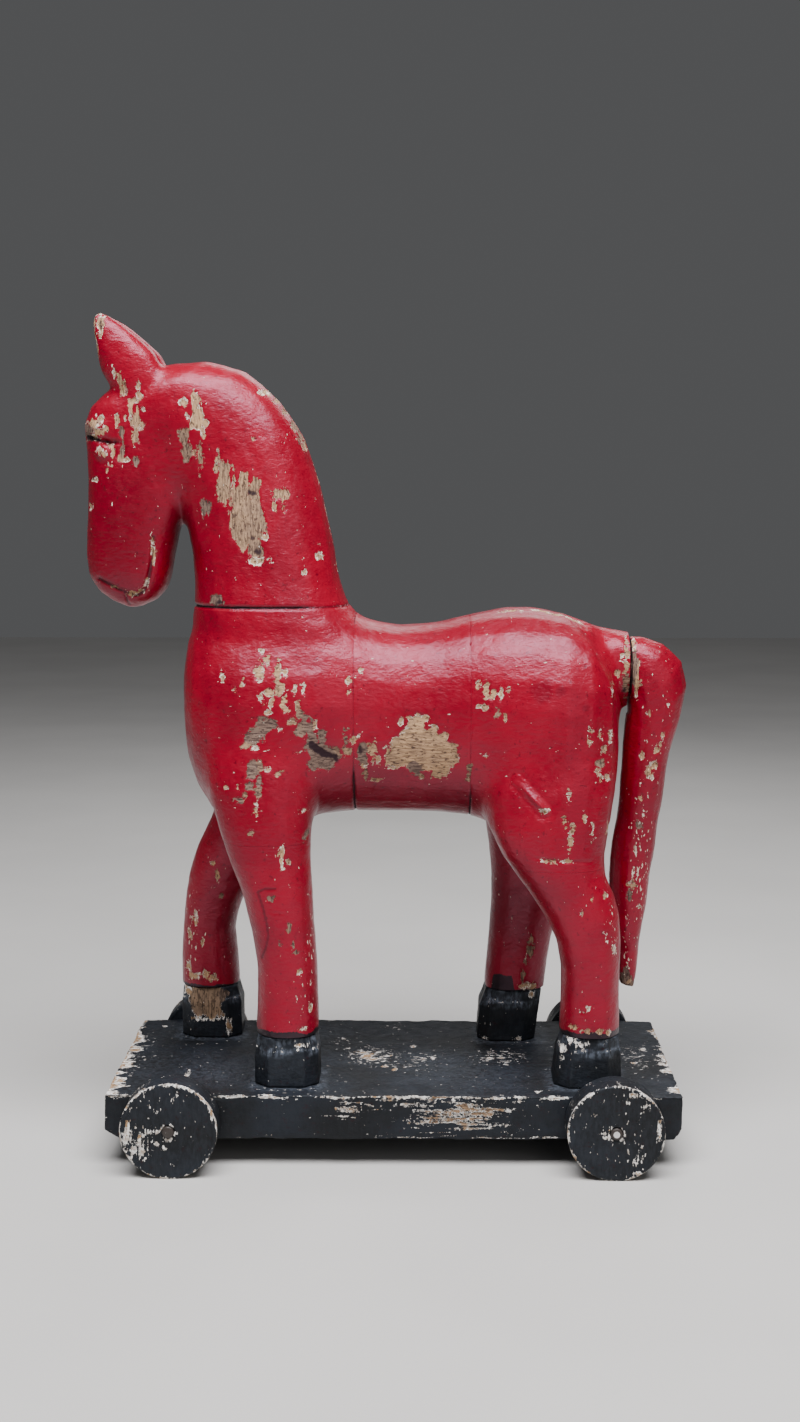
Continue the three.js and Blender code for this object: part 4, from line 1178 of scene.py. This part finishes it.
for name, side in SIDES.items():
    block(f"ear_{name}", ear & (y * side > 0), [(ear_cut, -1)], "Z")
block("neck_head", neck_and_head, [(neck_cut, -1), (ear_cut, 1)], "Z")
block("chest_block", torso & front, [(neck_cut, 1), (front_cut, 1), (hip_cuts["front"], -1)], "X")
block("barrel_block", torso & ~front & ~rear, [(front_cut, -1), (rear_cut, 1)], "X")
block("rump_block", torso & rear, [(rear_cut, -1), (tail_cut, 1), (hip_cuts["rear"], -1)], "X")
for leg in CORNERS:
    legs = front_legs if leg.startswith("front") else rear_legs
    chosen = legs & ((y < 0) == leg.endswith("left")) & (z > LEG_ENDS[leg])
    top_cut = level_cut(LEG_SEAMS[leg], f"leg_dowel_{leg}")
    block(f"leg_{leg}", chosen, [(top_cut, 1), (level_cut(LEG_ENDS[leg], f"hoof_screw_{leg}"), -1)], "Z")


# ---- Tail ----

TAIL_ROOT_LINE = [(113.4, 243), (113.8, 230), (113, 217)]


def make_tail():
    form = Form(remeshed(cad_mesh(["tail"]), 0.75))
    sand(form, rounds=30)
    x, _, z = form.points.T
    root = smoothstep(TAIL_SEAM + 9.0, TAIL_SEAM + 2.0, x) * (z > 200)
    even_out(form, size=3.5, rounds=260, weight=(1.0 - root) * (1.0 - smoothstep(94.0, 76.0, z)))
    sand(form, rounds=20)
    p = form.points
    joint = smoothstep(2.4, 0.4, np.abs(p[:, 0] - TAIL_SEAM)) * (p[:, 2] > 206)
    form.push(0.22 * layered(p, 14.0, 2, 3.0) - 0.5 * joint)
    p = form.points
    x, y, z = p.T
    ragged = ragged_noise(p, 3.0)
    worn = wear(x, z, TAIL_PATCHES, ragged, y < 30)
    worn = merge(worn, 1.6 - 0.35 * (z - 70.0) + ragged, 0.7)  # the tip
    split = smoothstep(0.9, 0.2, line_distance(x, z, TAIL_ROOT_LINE) + 0.3 * ragged)
    values = paint_values(worn, fleck_amount(x, z, TAIL_FLECKS, y < 30, 0.15), 0.8 * split)
    recess(form, values, depth=0.3)
    painted_piece("tail", form, values, RED_PAINT["Z"])


make_tail()


# ---- Hooves ----

COLLAR = 9.0  # how far a hoof's upper band, rubbed and with painted sheen, comes down
SOLE_ROOM = 0.25  # how far a sole may sink into the board's worn top

# Seen from the left: X, Z, half-width, half-height, tone.
HOOF_PATCHES = {
    "front_left": [(-44, 54.5, 2.4, 0.7, 0.1)],
    "rear_left": [
        (88, 55.5, 3.4, 1.3, 0.1), (80.2, 52.2, 1.2, 1.7, 0), (80.2, 48.3, 0.8, 1.2, 0),
        (83.5, 57.2, 1.4, 0.8, 0.1),
    ],
    "front_right": [
        (-98, 55, 9, 10.5, 0.62), (-95, 48, 6, 4, 0.6), (-107, 58, 2.4, 3, 0), (-98, 44.4, 6.5, 1.1, 0),
        (-90, 56, 3, 4, 0.8), (-86, 41, 1.2, 3.4, 0.4),
    ],
    "rear_right": [(69.5, 58.4, 1.4, 1.7, 0), (62.5, 35.6, 1.9, 1, 0), (45.5, 35.2, 1.2, 0.7, 0)],
}


def make_hoof(leg):
    name = f"hoof_{leg}"
    form = Form(remeshed(cad_mesh([name]), 0.55))
    sand(form, rounds=8)
    p, n = form.points, form.normals
    low, high = node_box(name)
    top = high[2]
    wall = np.abs(n[:, 2]) < 0.8
    form.push(wall * 0.22 * layered(p, 9.0, 3, 6.0) - 0.1)
    p = form.points
    x, _, z = p.T
    ragged = ragged_noise(p, 1.4)
    collar = smoothstep(top - COLLAR - 1.5, top - COLLAR + 1.0, z)
    crest = 1.0 - np.abs(z - (top - COLLAR + 3.0)) * 0.8 + 1.5 * layered(p, (3.5, 3.5, 1.6), 3, 5.0)
    # pale band over the collar: rubbed paint, and painted sheen where this band faces up into the light
    bloom_and_sheen = collar * (0.22 + 0.4 * layered(p, (4, 4, 3), 2, 8.0)) + 0.04
    bloom_and_sheen += 0.5 * collar * smoothstep(0.2, 1.2, crest)
    worn = wear(x, z, HOOF_PATCHES[leg], ragged, n[:, 1] < 0.3)
    worn = merge(worn, crest - 2.1, 0.05, collar > 0.2)
    values = paint_values(worn, flecks=0.08, bloom_and_sheen=np.clip(bloom_and_sheen, 0, 1))
    recess(form, values, depth=0.25)
    p = form.points
    p[:, 2] = np.clip(p[:, 2], low[2] - SOLE_ROOM, top)
    form.points = p
    painted_piece(name, form, values, BLACK_UPRIGHT)


for leg in CORNERS:
    make_hoof(leg)


# ---- Board ----

# Patches seen from above: X, Y, half-length, half-width, tone.
DECK_PATCHES = [
    (-14, -1, 3.4, 4, 0.3), (-11, -6, 2.6, 2, 0.3), (-16, 5, 2.4, 2.4, 0.3), (19, -4, 1, 2.4, 0.1),
    (14, -5, 1.4, 1.2, 0.2), (-3, 0, 1.4, 1.2, 0.2), (-5, -17, 1.6, 1.6, 0.3), (0, -22, 1.4, 1.8, 0.2),
    (53, -2, 1.6, 2.2, 0.3), (47, -4, 1.2, 1.4, 0.2), (-27, 28, 1.6, 1.4, 0.2), (-24, 11, 1, 1.2, 0.2),
    (125, 12, 1.4, 2.2, 0.2), (118, -10, 1.2, 1.6, 0.2), (-122, 48, 0.9, 1.4, 0.1), (68, -54, 1.8, 1.8, 0.1),
    (-131, 8, 3.4, 3.6, 0.2), (-131, -38, 3.6, 2.4, 0.1), (-100, -30, 0.8, 4, 0.2), (9, 15, 1.6, 1.6, 0.3),
]
DECK_FLECKS = [
    (-12, 0, 22, 26, 0.85), (5, -8, 30, 26, 0.6), (52, -2, 22, 24, 0.7), (2, 48, 16, 14, 0.5),
    (-28, 22, 12, 16, 0.5), (120, 0, 16, 40, 0.5), (-128, 0, 12, 60, 0.5), (-50, -54, 40, 10, 0.35),
]


def hoof_mounds(p):
    """1 against a hoof, falling to 0 a few millimetres away: paint has piled up there."""
    x, y, _ = p.T
    mound = np.zeros(len(p))
    for leg in CORNERS:
        a, b = node_box(f"hoof_{leg}")
        gap_x = np.maximum(np.maximum(a[0] - x, x - b[0]), 0.0)
        gap_y = np.maximum(np.maximum(a[1] - y, y - b[1]), 0.0)
        gap = np.hypot(gap_x + 2.2 * (gap_y > 0) * (gap_x > 0), gap_y)
        mound = np.maximum(mound, smoothstep(5.5, 0.0, gap + 0.8 * noise(p, 4.0, 9.0)))
    return mound


def strongest(p, places):
    """The greatest of several soft ellipsoids, each with a strength, a middle and radii."""
    return np.maximum.reduce([strength * near(p, centre, radii) for strength, centre, radii in places])


def make_board():
    form = Form(remeshed(cad_mesh(["base_board"]), 1.0))
    sand(form, rounds=12)
    p, n = form.points, form.normals
    low, high = node_box("base_board")
    x, y, z = p.T
    to_end = np.minimum(x - low[0], high[0] - x)
    to_side = high[1] - np.abs(y)
    to_level = np.minimum(high[2] - z, z - low[2])
    arris = np.sort([to_end, to_side, to_level], axis=0)[1]  # the distance to the nearest edge
    on_top = (n[:, 2] > 0.7) & (z > high[2] - 2)
    not_below = n[:, 2] > -0.5
    rounding = smoothstep(4.0, 0.0, arris) * (0.5 + 0.6 * layered(p, 9.0, 3, 2.0))
    grain = noise(p, (60, 2.2, 2.2), 3.0) * 0.09 + noise(p, (90, 6, 6), 4.0) * 0.10
    wave = 0.35 * layered(p, 40.0, 2, 5.0) - 0.3
    mound = hoof_mounds(p)
    hollow = np.minimum(grain + np.where(on_top, 0.0, wave), 0.0)
    form.push(not_below * hollow - 0.7 * np.clip(rounding, 0, 1))
    p = form.points
    p[:, 2] += on_top * 0.22 * mound
    form.points = p
    worn = wear(x, y, DECK_PATCHES, ragged_noise(p, 1.0), on_top)
    # edges, most of all at the ends and along the middle of the left side
    chips = layered(p, (9, 5, 5), 4, 21.0)
    bias = np.where(z > high[2] - 5, 0.0, -0.9) + 0.5 * (np.abs(x) > 120)
    bias += 0.7 * ((y < 0) & (x > -24) & (x < 78))
    edge_tone = np.clip(0.1 + 0.25 * (arris - 1.0), 0.05, 0.5)
    worn = merge(worn, bias + 1.5 * chips - 0.8 * arris, edge_tone, not_below)
    worn = merge(worn, np.where(x < 0, 1.3, 0.5) + 2.4 * chips - 0.42 * to_end, 0.1, on_top)
    # sides and ends, with streaks of bare wood in three places
    face = (np.abs(n[:, 1]) > 0.5) | (np.abs(n[:, 0]) > 0.5)
    bare = strongest(p, [
        (1.35, (28, -62, 26), (52, 40, 20)), (1.0, (-17, -62, 28), (20, 40, 14)),
        (1.0, (10, 62, 24), (70, 40, 16)),
    ])
    streaks = 1.2 * layered(p, (16, 2.0, 1.5), 3, 31.0) + 1.7 * bare - 2.0
    worn = merge(worn, streaks, 0.10 + 0.45 * smoothstep(0.4, 0.9, bare), face)
    # the top, between the hooves
    speckled = strongest(p, [
        (1.0, (-12, 0, 34), (26, 30, 20)), (0.8, (52, -2, 34), (24, 26, 20)),
        (0.7, (120, 0, 34), (16, 50, 20)),
    ])
    worn = merge(worn, 1.5 * speckled - 2.0, 0.1, on_top)
    flecks = np.where(on_top, fleck_amount(x, y, DECK_FLECKS, on_top, 0.08), 0.10)
    dusty = 0.03 + 0.30 * mound + 0.12 * smoothstep(0.0, 0.9, layered(p, 45.0, 2, 13.0))
    dusty = np.maximum(dusty, 0.22 * near(p, (-90, -25, 34), (30, 40, 20)))
    values = paint_values(worn, flecks, bloom_and_sheen=np.clip(np.where(on_top, dusty, 0.02), 0, 1))
    recess(form, values, depth=0.22)
    painted_piece("base_board", form, values, BLACK_LEVEL)


make_board()


# ---- Wheels and their nails ----

WHEEL_SIDES = 220
STEP = 0.65  # along a wheel's profile
BORE = 2.35  # radius
ROUNDING = 0.9
INSIDE = 0.02  # keeps a wheel inside its CAD box
BEVEL = 0.5  # at a bore's mouth
CORNER = 0.25  # how far a rounded corner is cut back
NAIL_SIDES = 28
HEAD, SHANK, RISE = 2.8, 1.9, 1.1  # a nail head's radius, its shank's radius, and the head's height
NAIL_POINT = 3.0  # length

# Wear on the wheels' faces: patches (X, Z, half-width, half-height, tone), specks (X, Z, half-width,
# half-height, amount), and a scuffed place (strength, X, Z, half-width, half-height).
WHEEL_PATCHES = {
    "front_left": [
        (-109.5, 22.3, 3, 0.6, 0.2), (-122, 20, 1.1, 5, 0.1), (-119, 13, 1.4, 2, 0.2),
        (-114, 13, 1.4, 1, 0.2), (-104.5, 14.6, 1.2, 0.8, 0), (-103, 18.6, 1.4, 0.6, 0.1),
        (-83, 33, 0.9, 4, 0.1), (-108.6, 16.6, 0.9, 1, 0.2),
    ],
    "rear_left": [
        (115.5, 35.4, 1.4, 1, 0.2), (111, 40.6, 3, 0.8, 0.2), (121.8, 24.5, 0.8, 3.6, 0),
        (98, 20.6, 1.6, 0.8, 0.1), (97, 22.6, 1.2, 0.5, 0.3), (106.6, 37.4, 0.7, 0.7, 0.1),
        (112, 3.6, 1.6, 1.2, 0.2), (85.5, 37, 1, 0.7, 0.2),
    ],
}
WHEEL_SPECKS = {
    "front_left": [(-116, 16, 14, 16, 0.9), (-110, 32, 14, 14, 0.6), (-100, 40, 14, 8, 0.5)],
    "rear_left": [(112, 12, 12, 14, 0.7), (102, 22, 8, 8, 0.8), (92, 32, 10, 10, 0.5)],
}
WHEEL_SCUFFS = {"front_left": (1.25, -117, 17, 15, 17), "rear_left": (0.7, 114, 33, 9, 12)}
WHEEL_SEEDS = dict(zip(CORNERS, (0.0, 11.0, 23.0, 37.0)))
BRIGHT_NAIL = "rear_left"


def turned(name, profile, sides, middle, side, closed):
    """A ring of revolution about a line along Y; profile is (radius, distance out from the middle)."""
    angle = 2 * math.pi * np.arange(sides) / sides
    radius, out = np.array(profile)[:, :, None].transpose(1, 0, 2)
    x = middle[0] + radius * np.cos(angle)
    y = middle[1] + side * (out + 0 * angle)
    z = middle[2] + radius * np.sin(angle)
    rows = len(profile)
    faces = []
    for r in range(rows if closed else rows - 1):
        for k in range(sides):
            a = r * sides + k
            b = r * sides + (k + 1) % sides
            up = ((r + 1) % rows - r) * sides
            quad = (a, b, b + up, a + up)
            faces.append(quad[::-1] if side > 0 else quad)
    mesh = bpy.data.meshes.new(name)
    mesh.from_pydata(np.stack([x, y, z], -1).reshape(-1, 3), [], faces)
    mesh.update()
    return mesh


def along(start, end, step):
    """Points from start to end, without the end."""
    count = max(1, int(round(math.dist(start, end) / step)))
    return [tuple(s + (e - s) * i / count for s, e in zip(start, end)) for i in range(count)]


def centre_and_half(name):
    low, high = node_box(name)
    return (low + high) / 2, (high[1] - low[1]) / 2


def make_wheel(corner):
    side = side_of(corner)
    middle, half = centre_and_half(f"wheel_{corner}")
    radius = middle[2] - INSIDE
    half -= INSIDE
    outline = [
        (BORE, half - BEVEL), (BORE + BEVEL, half), (radius - ROUNDING, half),
        (radius - CORNER, half - CORNER), (radius, half - ROUNDING), (radius, ROUNDING - half),
        (radius - CORNER, CORNER - half), (radius - ROUNDING, -half), (BORE + BEVEL, -half),
        (BORE, BEVEL - half),
    ]
    profile = []
    for start, stop in zip(outline, outline[1:] + outline[:1]):
        profile += along(start, stop, STEP)
    form = Form(turned("wheel", profile, WHEEL_SIDES, middle, side, True))
    p = form.points
    seed = WHEEL_SEEDS[corner]
    local = p - middle
    r = np.hypot(local[:, 0], local[:, 2])
    out = local[:, 1] * side
    turn = np.arctan2(local[:, 2], local[:, 0])
    clear = r >= BORE + 1.0  # of the bore
    grain = 0.14 * noise(p + seed, (14, 14, 14), 2.0) + 0.06 * noise(p + seed, (1.8, 8, 12), 3.0) - 0.16
    flats = (r > radius - 2) * (0.18 * noise(p + seed, 16.0, 6.0) - 0.18)
    form.push(clear * (grain + flats))

    p = form.points
    x, y, z = p.T
    outer = out > half - 1.2
    worn = wear(x, z, WHEEL_PATCHES.get(corner, []), ragged_noise(p + seed, 1.5), outer)
    # the rim, worn more on one side of each wheel
    rim = np.minimum(radius - r + 0.4, 3.0) + np.where(out > 0, np.clip(half - 0.8 - out, 0, 9), 9.0)
    heavy = 0.5 + 0.5 * np.cos(turn - (0.9 if corner.startswith("rear") else 2.2))
    worn = merge(worn, 1.15 + 0.35 * heavy + 1.1 * layered(p + seed, 5.0, 4, 8.0) - 1.5 * rim, 0.08)
    amount, cx, cz, rx, rz = WHEEL_SCUFFS.get(corner, (0.9, middle[0] + 8, 14, 15, 15))
    worn = merge(worn, amount * near(p, (cx, y[0], cz), (rx, 60, rz)) - 1.6, 0.1, outer)
    tread = 1.5 * layered(p + seed, (3, 9, 3), 3, 3.0) - 1.7
    worn = merge(worn, tread, 0.4, (np.abs(out) < half - 0.6) & (r > radius - 1.2))
    halo = 0.1 - np.abs(r - 3.6) * 1.3 + 1.2 * layered(p + seed, 2.2, 2, 4.0)  # around the nail
    worn = merge(worn, halo, 0.2, outer)
    specks = WHEEL_SPECKS.get(corner, [(middle[0] + 4, 15, 16, 14, 0.7)])
    values = paint_values(
        worn, fleck_amount(x, z, specks, outer, 0.12), smoothstep(3.4, 2.5, r) * 0.8, bloom_and_sheen=0.05
    )
    form.push(clear * -0.2 * chip_depth(worn[0]))
    local = form.points - middle
    reach = np.minimum(1.0, radius / np.maximum(np.hypot(local[:, 0], local[:, 2]), 1e-6))
    form.points = middle + local * np.column_stack([reach, np.ones(len(reach)), reach])
    painted_piece(f"wheel_{corner}", form, values, BLACK_UPRIGHT, f"{corner}_wheel")


def make_nail(corner):
    side = side_of(corner)
    middle, half = centre_and_half(f"axle_nail_{corner}")
    face = half - RISE
    profile = [
        (0.0, -half), (SHANK, NAIL_POINT - half), (SHANK, face), (HEAD, face), (HEAD, face + 0.35),
        (HEAD * 0.93, face + 0.65), (HEAD * 0.72, face + 0.92), (HEAD * 0.4, face + 1.05), (0.0, half),
    ]
    mesh = turned("nail", profile, NAIL_SIDES, middle, side, False)
    bm = bmesh.new()
    bm.from_mesh(mesh)
    bmesh.ops.remove_doubles(bm, verts=bm.verts, dist=1e-4)
    bmesh.ops.recalc_face_normals(bm, faces=bm.faces)
    bm.to_mesh(mesh)
    bm.free()
    form = Form(mesh)
    local = form.points - middle
    rubbed = smoothstep(1.9, 1.2, np.hypot(local[:, 0] - 0.2, local[:, 2] + 0.1)) * (local[:, 1] * side > 0)
    values = {"rubbed": rubbed * (0.9 if corner == BRIGHT_NAIL else 0.3)}
    painted_piece(f"axle_nail_{corner}", form, values, RUBBED_STEEL)


for corner in CORNERS:
    make_wheel(corner)
    make_nail(corner)

# Dowels and screws are the CAD's own solids, with a material.
for name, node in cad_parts.items():
    if "screw" in name or "dowel" in name:
        level = name.startswith(("body", "tail"))
        node.data.materials.clear()
        node.data.materials.append(DULL_STEEL if "screw" in name else CUT_WOOD["X" if level else "Z"])


# ---- Floor, lights and camera ----


def plain(name, colour, roughness):
    s = Shader(name)
    tint = s.mix(s.ramp(s.noise(180.0, 3.0, 0.5), 0.3, 0.7), colour, tuple(0.94 * v for v in colour))
    s.bump(s.noise(2.5, 3.0, 0.6), 0.0001)
    return s.finish(Base_Color=tint, Roughness=roughness)


floor_mesh = bpy.data.meshes.new("floor")
floor_mesh.from_pydata([(-3, -3, 0), (3, -3, 0), (3, 3, 0), (-3, 3, 0)], [], [(0, 1, 2, 3)])
floor_mesh.materials.append(plain("pale_floor", (0.60, 0.585, 0.56), 0.65))
floor = bpy.data.objects.new("floor", floor_mesh)
bpy.context.scene.collection.objects.link(floor)

world = bpy.data.worlds.new("world")
bpy.context.scene.world = world
world.use_nodes = True
background = world.node_tree.nodes["Background"].inputs
background["Color"].default_value = (0.80, 0.81, 0.83, 1.0)
background["Strength"].default_value = 0.11

LIT = (0.0, 0.0, 0.2)  # the place that the lights point at


def soft_light(name, place, size, power, colour=(1.0, 1.0, 1.0)):
    light = bpy.data.lights.new(name, "AREA")
    light.shape = "ELLIPSE"
    light.size, light.size_y = size
    light.energy = power
    light.color = colour
    ob = bpy.data.objects.new(name, light)
    ob.location = place
    ob.rotation_euler = (Vector(LIT) - Vector(place)).to_track_quat("-Z", "Y").to_euler()
    bpy.context.scene.collection.objects.link(ob)


soft_light("key", (0.05, -0.42, 1.12), (1.25, 0.70), 33.0, (0.97, 0.97, 1.0))
soft_light("fill", (0.7, -1.2, 0.6), (1.0, 1.0), 2.0)
soft_light("back", (0.2, 0.9, 0.9), (0.8, 0.5), 3.0)

EYE = np.array([13.573, -871.835, 313.902])  # the camera's place in the design frame
PITCH, YAW = 0.1216, 0.01286  # how far it looks down, and towards -X
FOCAL_TO_LONG_SIDE = 1800.0 / 1422.0
SENSOR = 36.0

camera_data = bpy.data.cameras.new("camera")
camera_data.sensor_width = SENSOR
camera_data.lens = SENSOR * FOCAL_TO_LONG_SIDE
camera_data.clip_start = 0.05
camera = bpy.data.objects.new("camera", camera_data)
camera.location = (EYE + SHIFT) * MM
camera.rotation_mode = "QUATERNION"
aim = Vector((-math.sin(YAW) * math.cos(PITCH), math.cos(YAW) * math.cos(PITCH), -math.sin(PITCH)))
camera.rotation_quaternion = aim.to_track_quat("-Z", "Y")
bpy.context.scene.collection.objects.link(camera)
bpy.context.scene.camera = camera
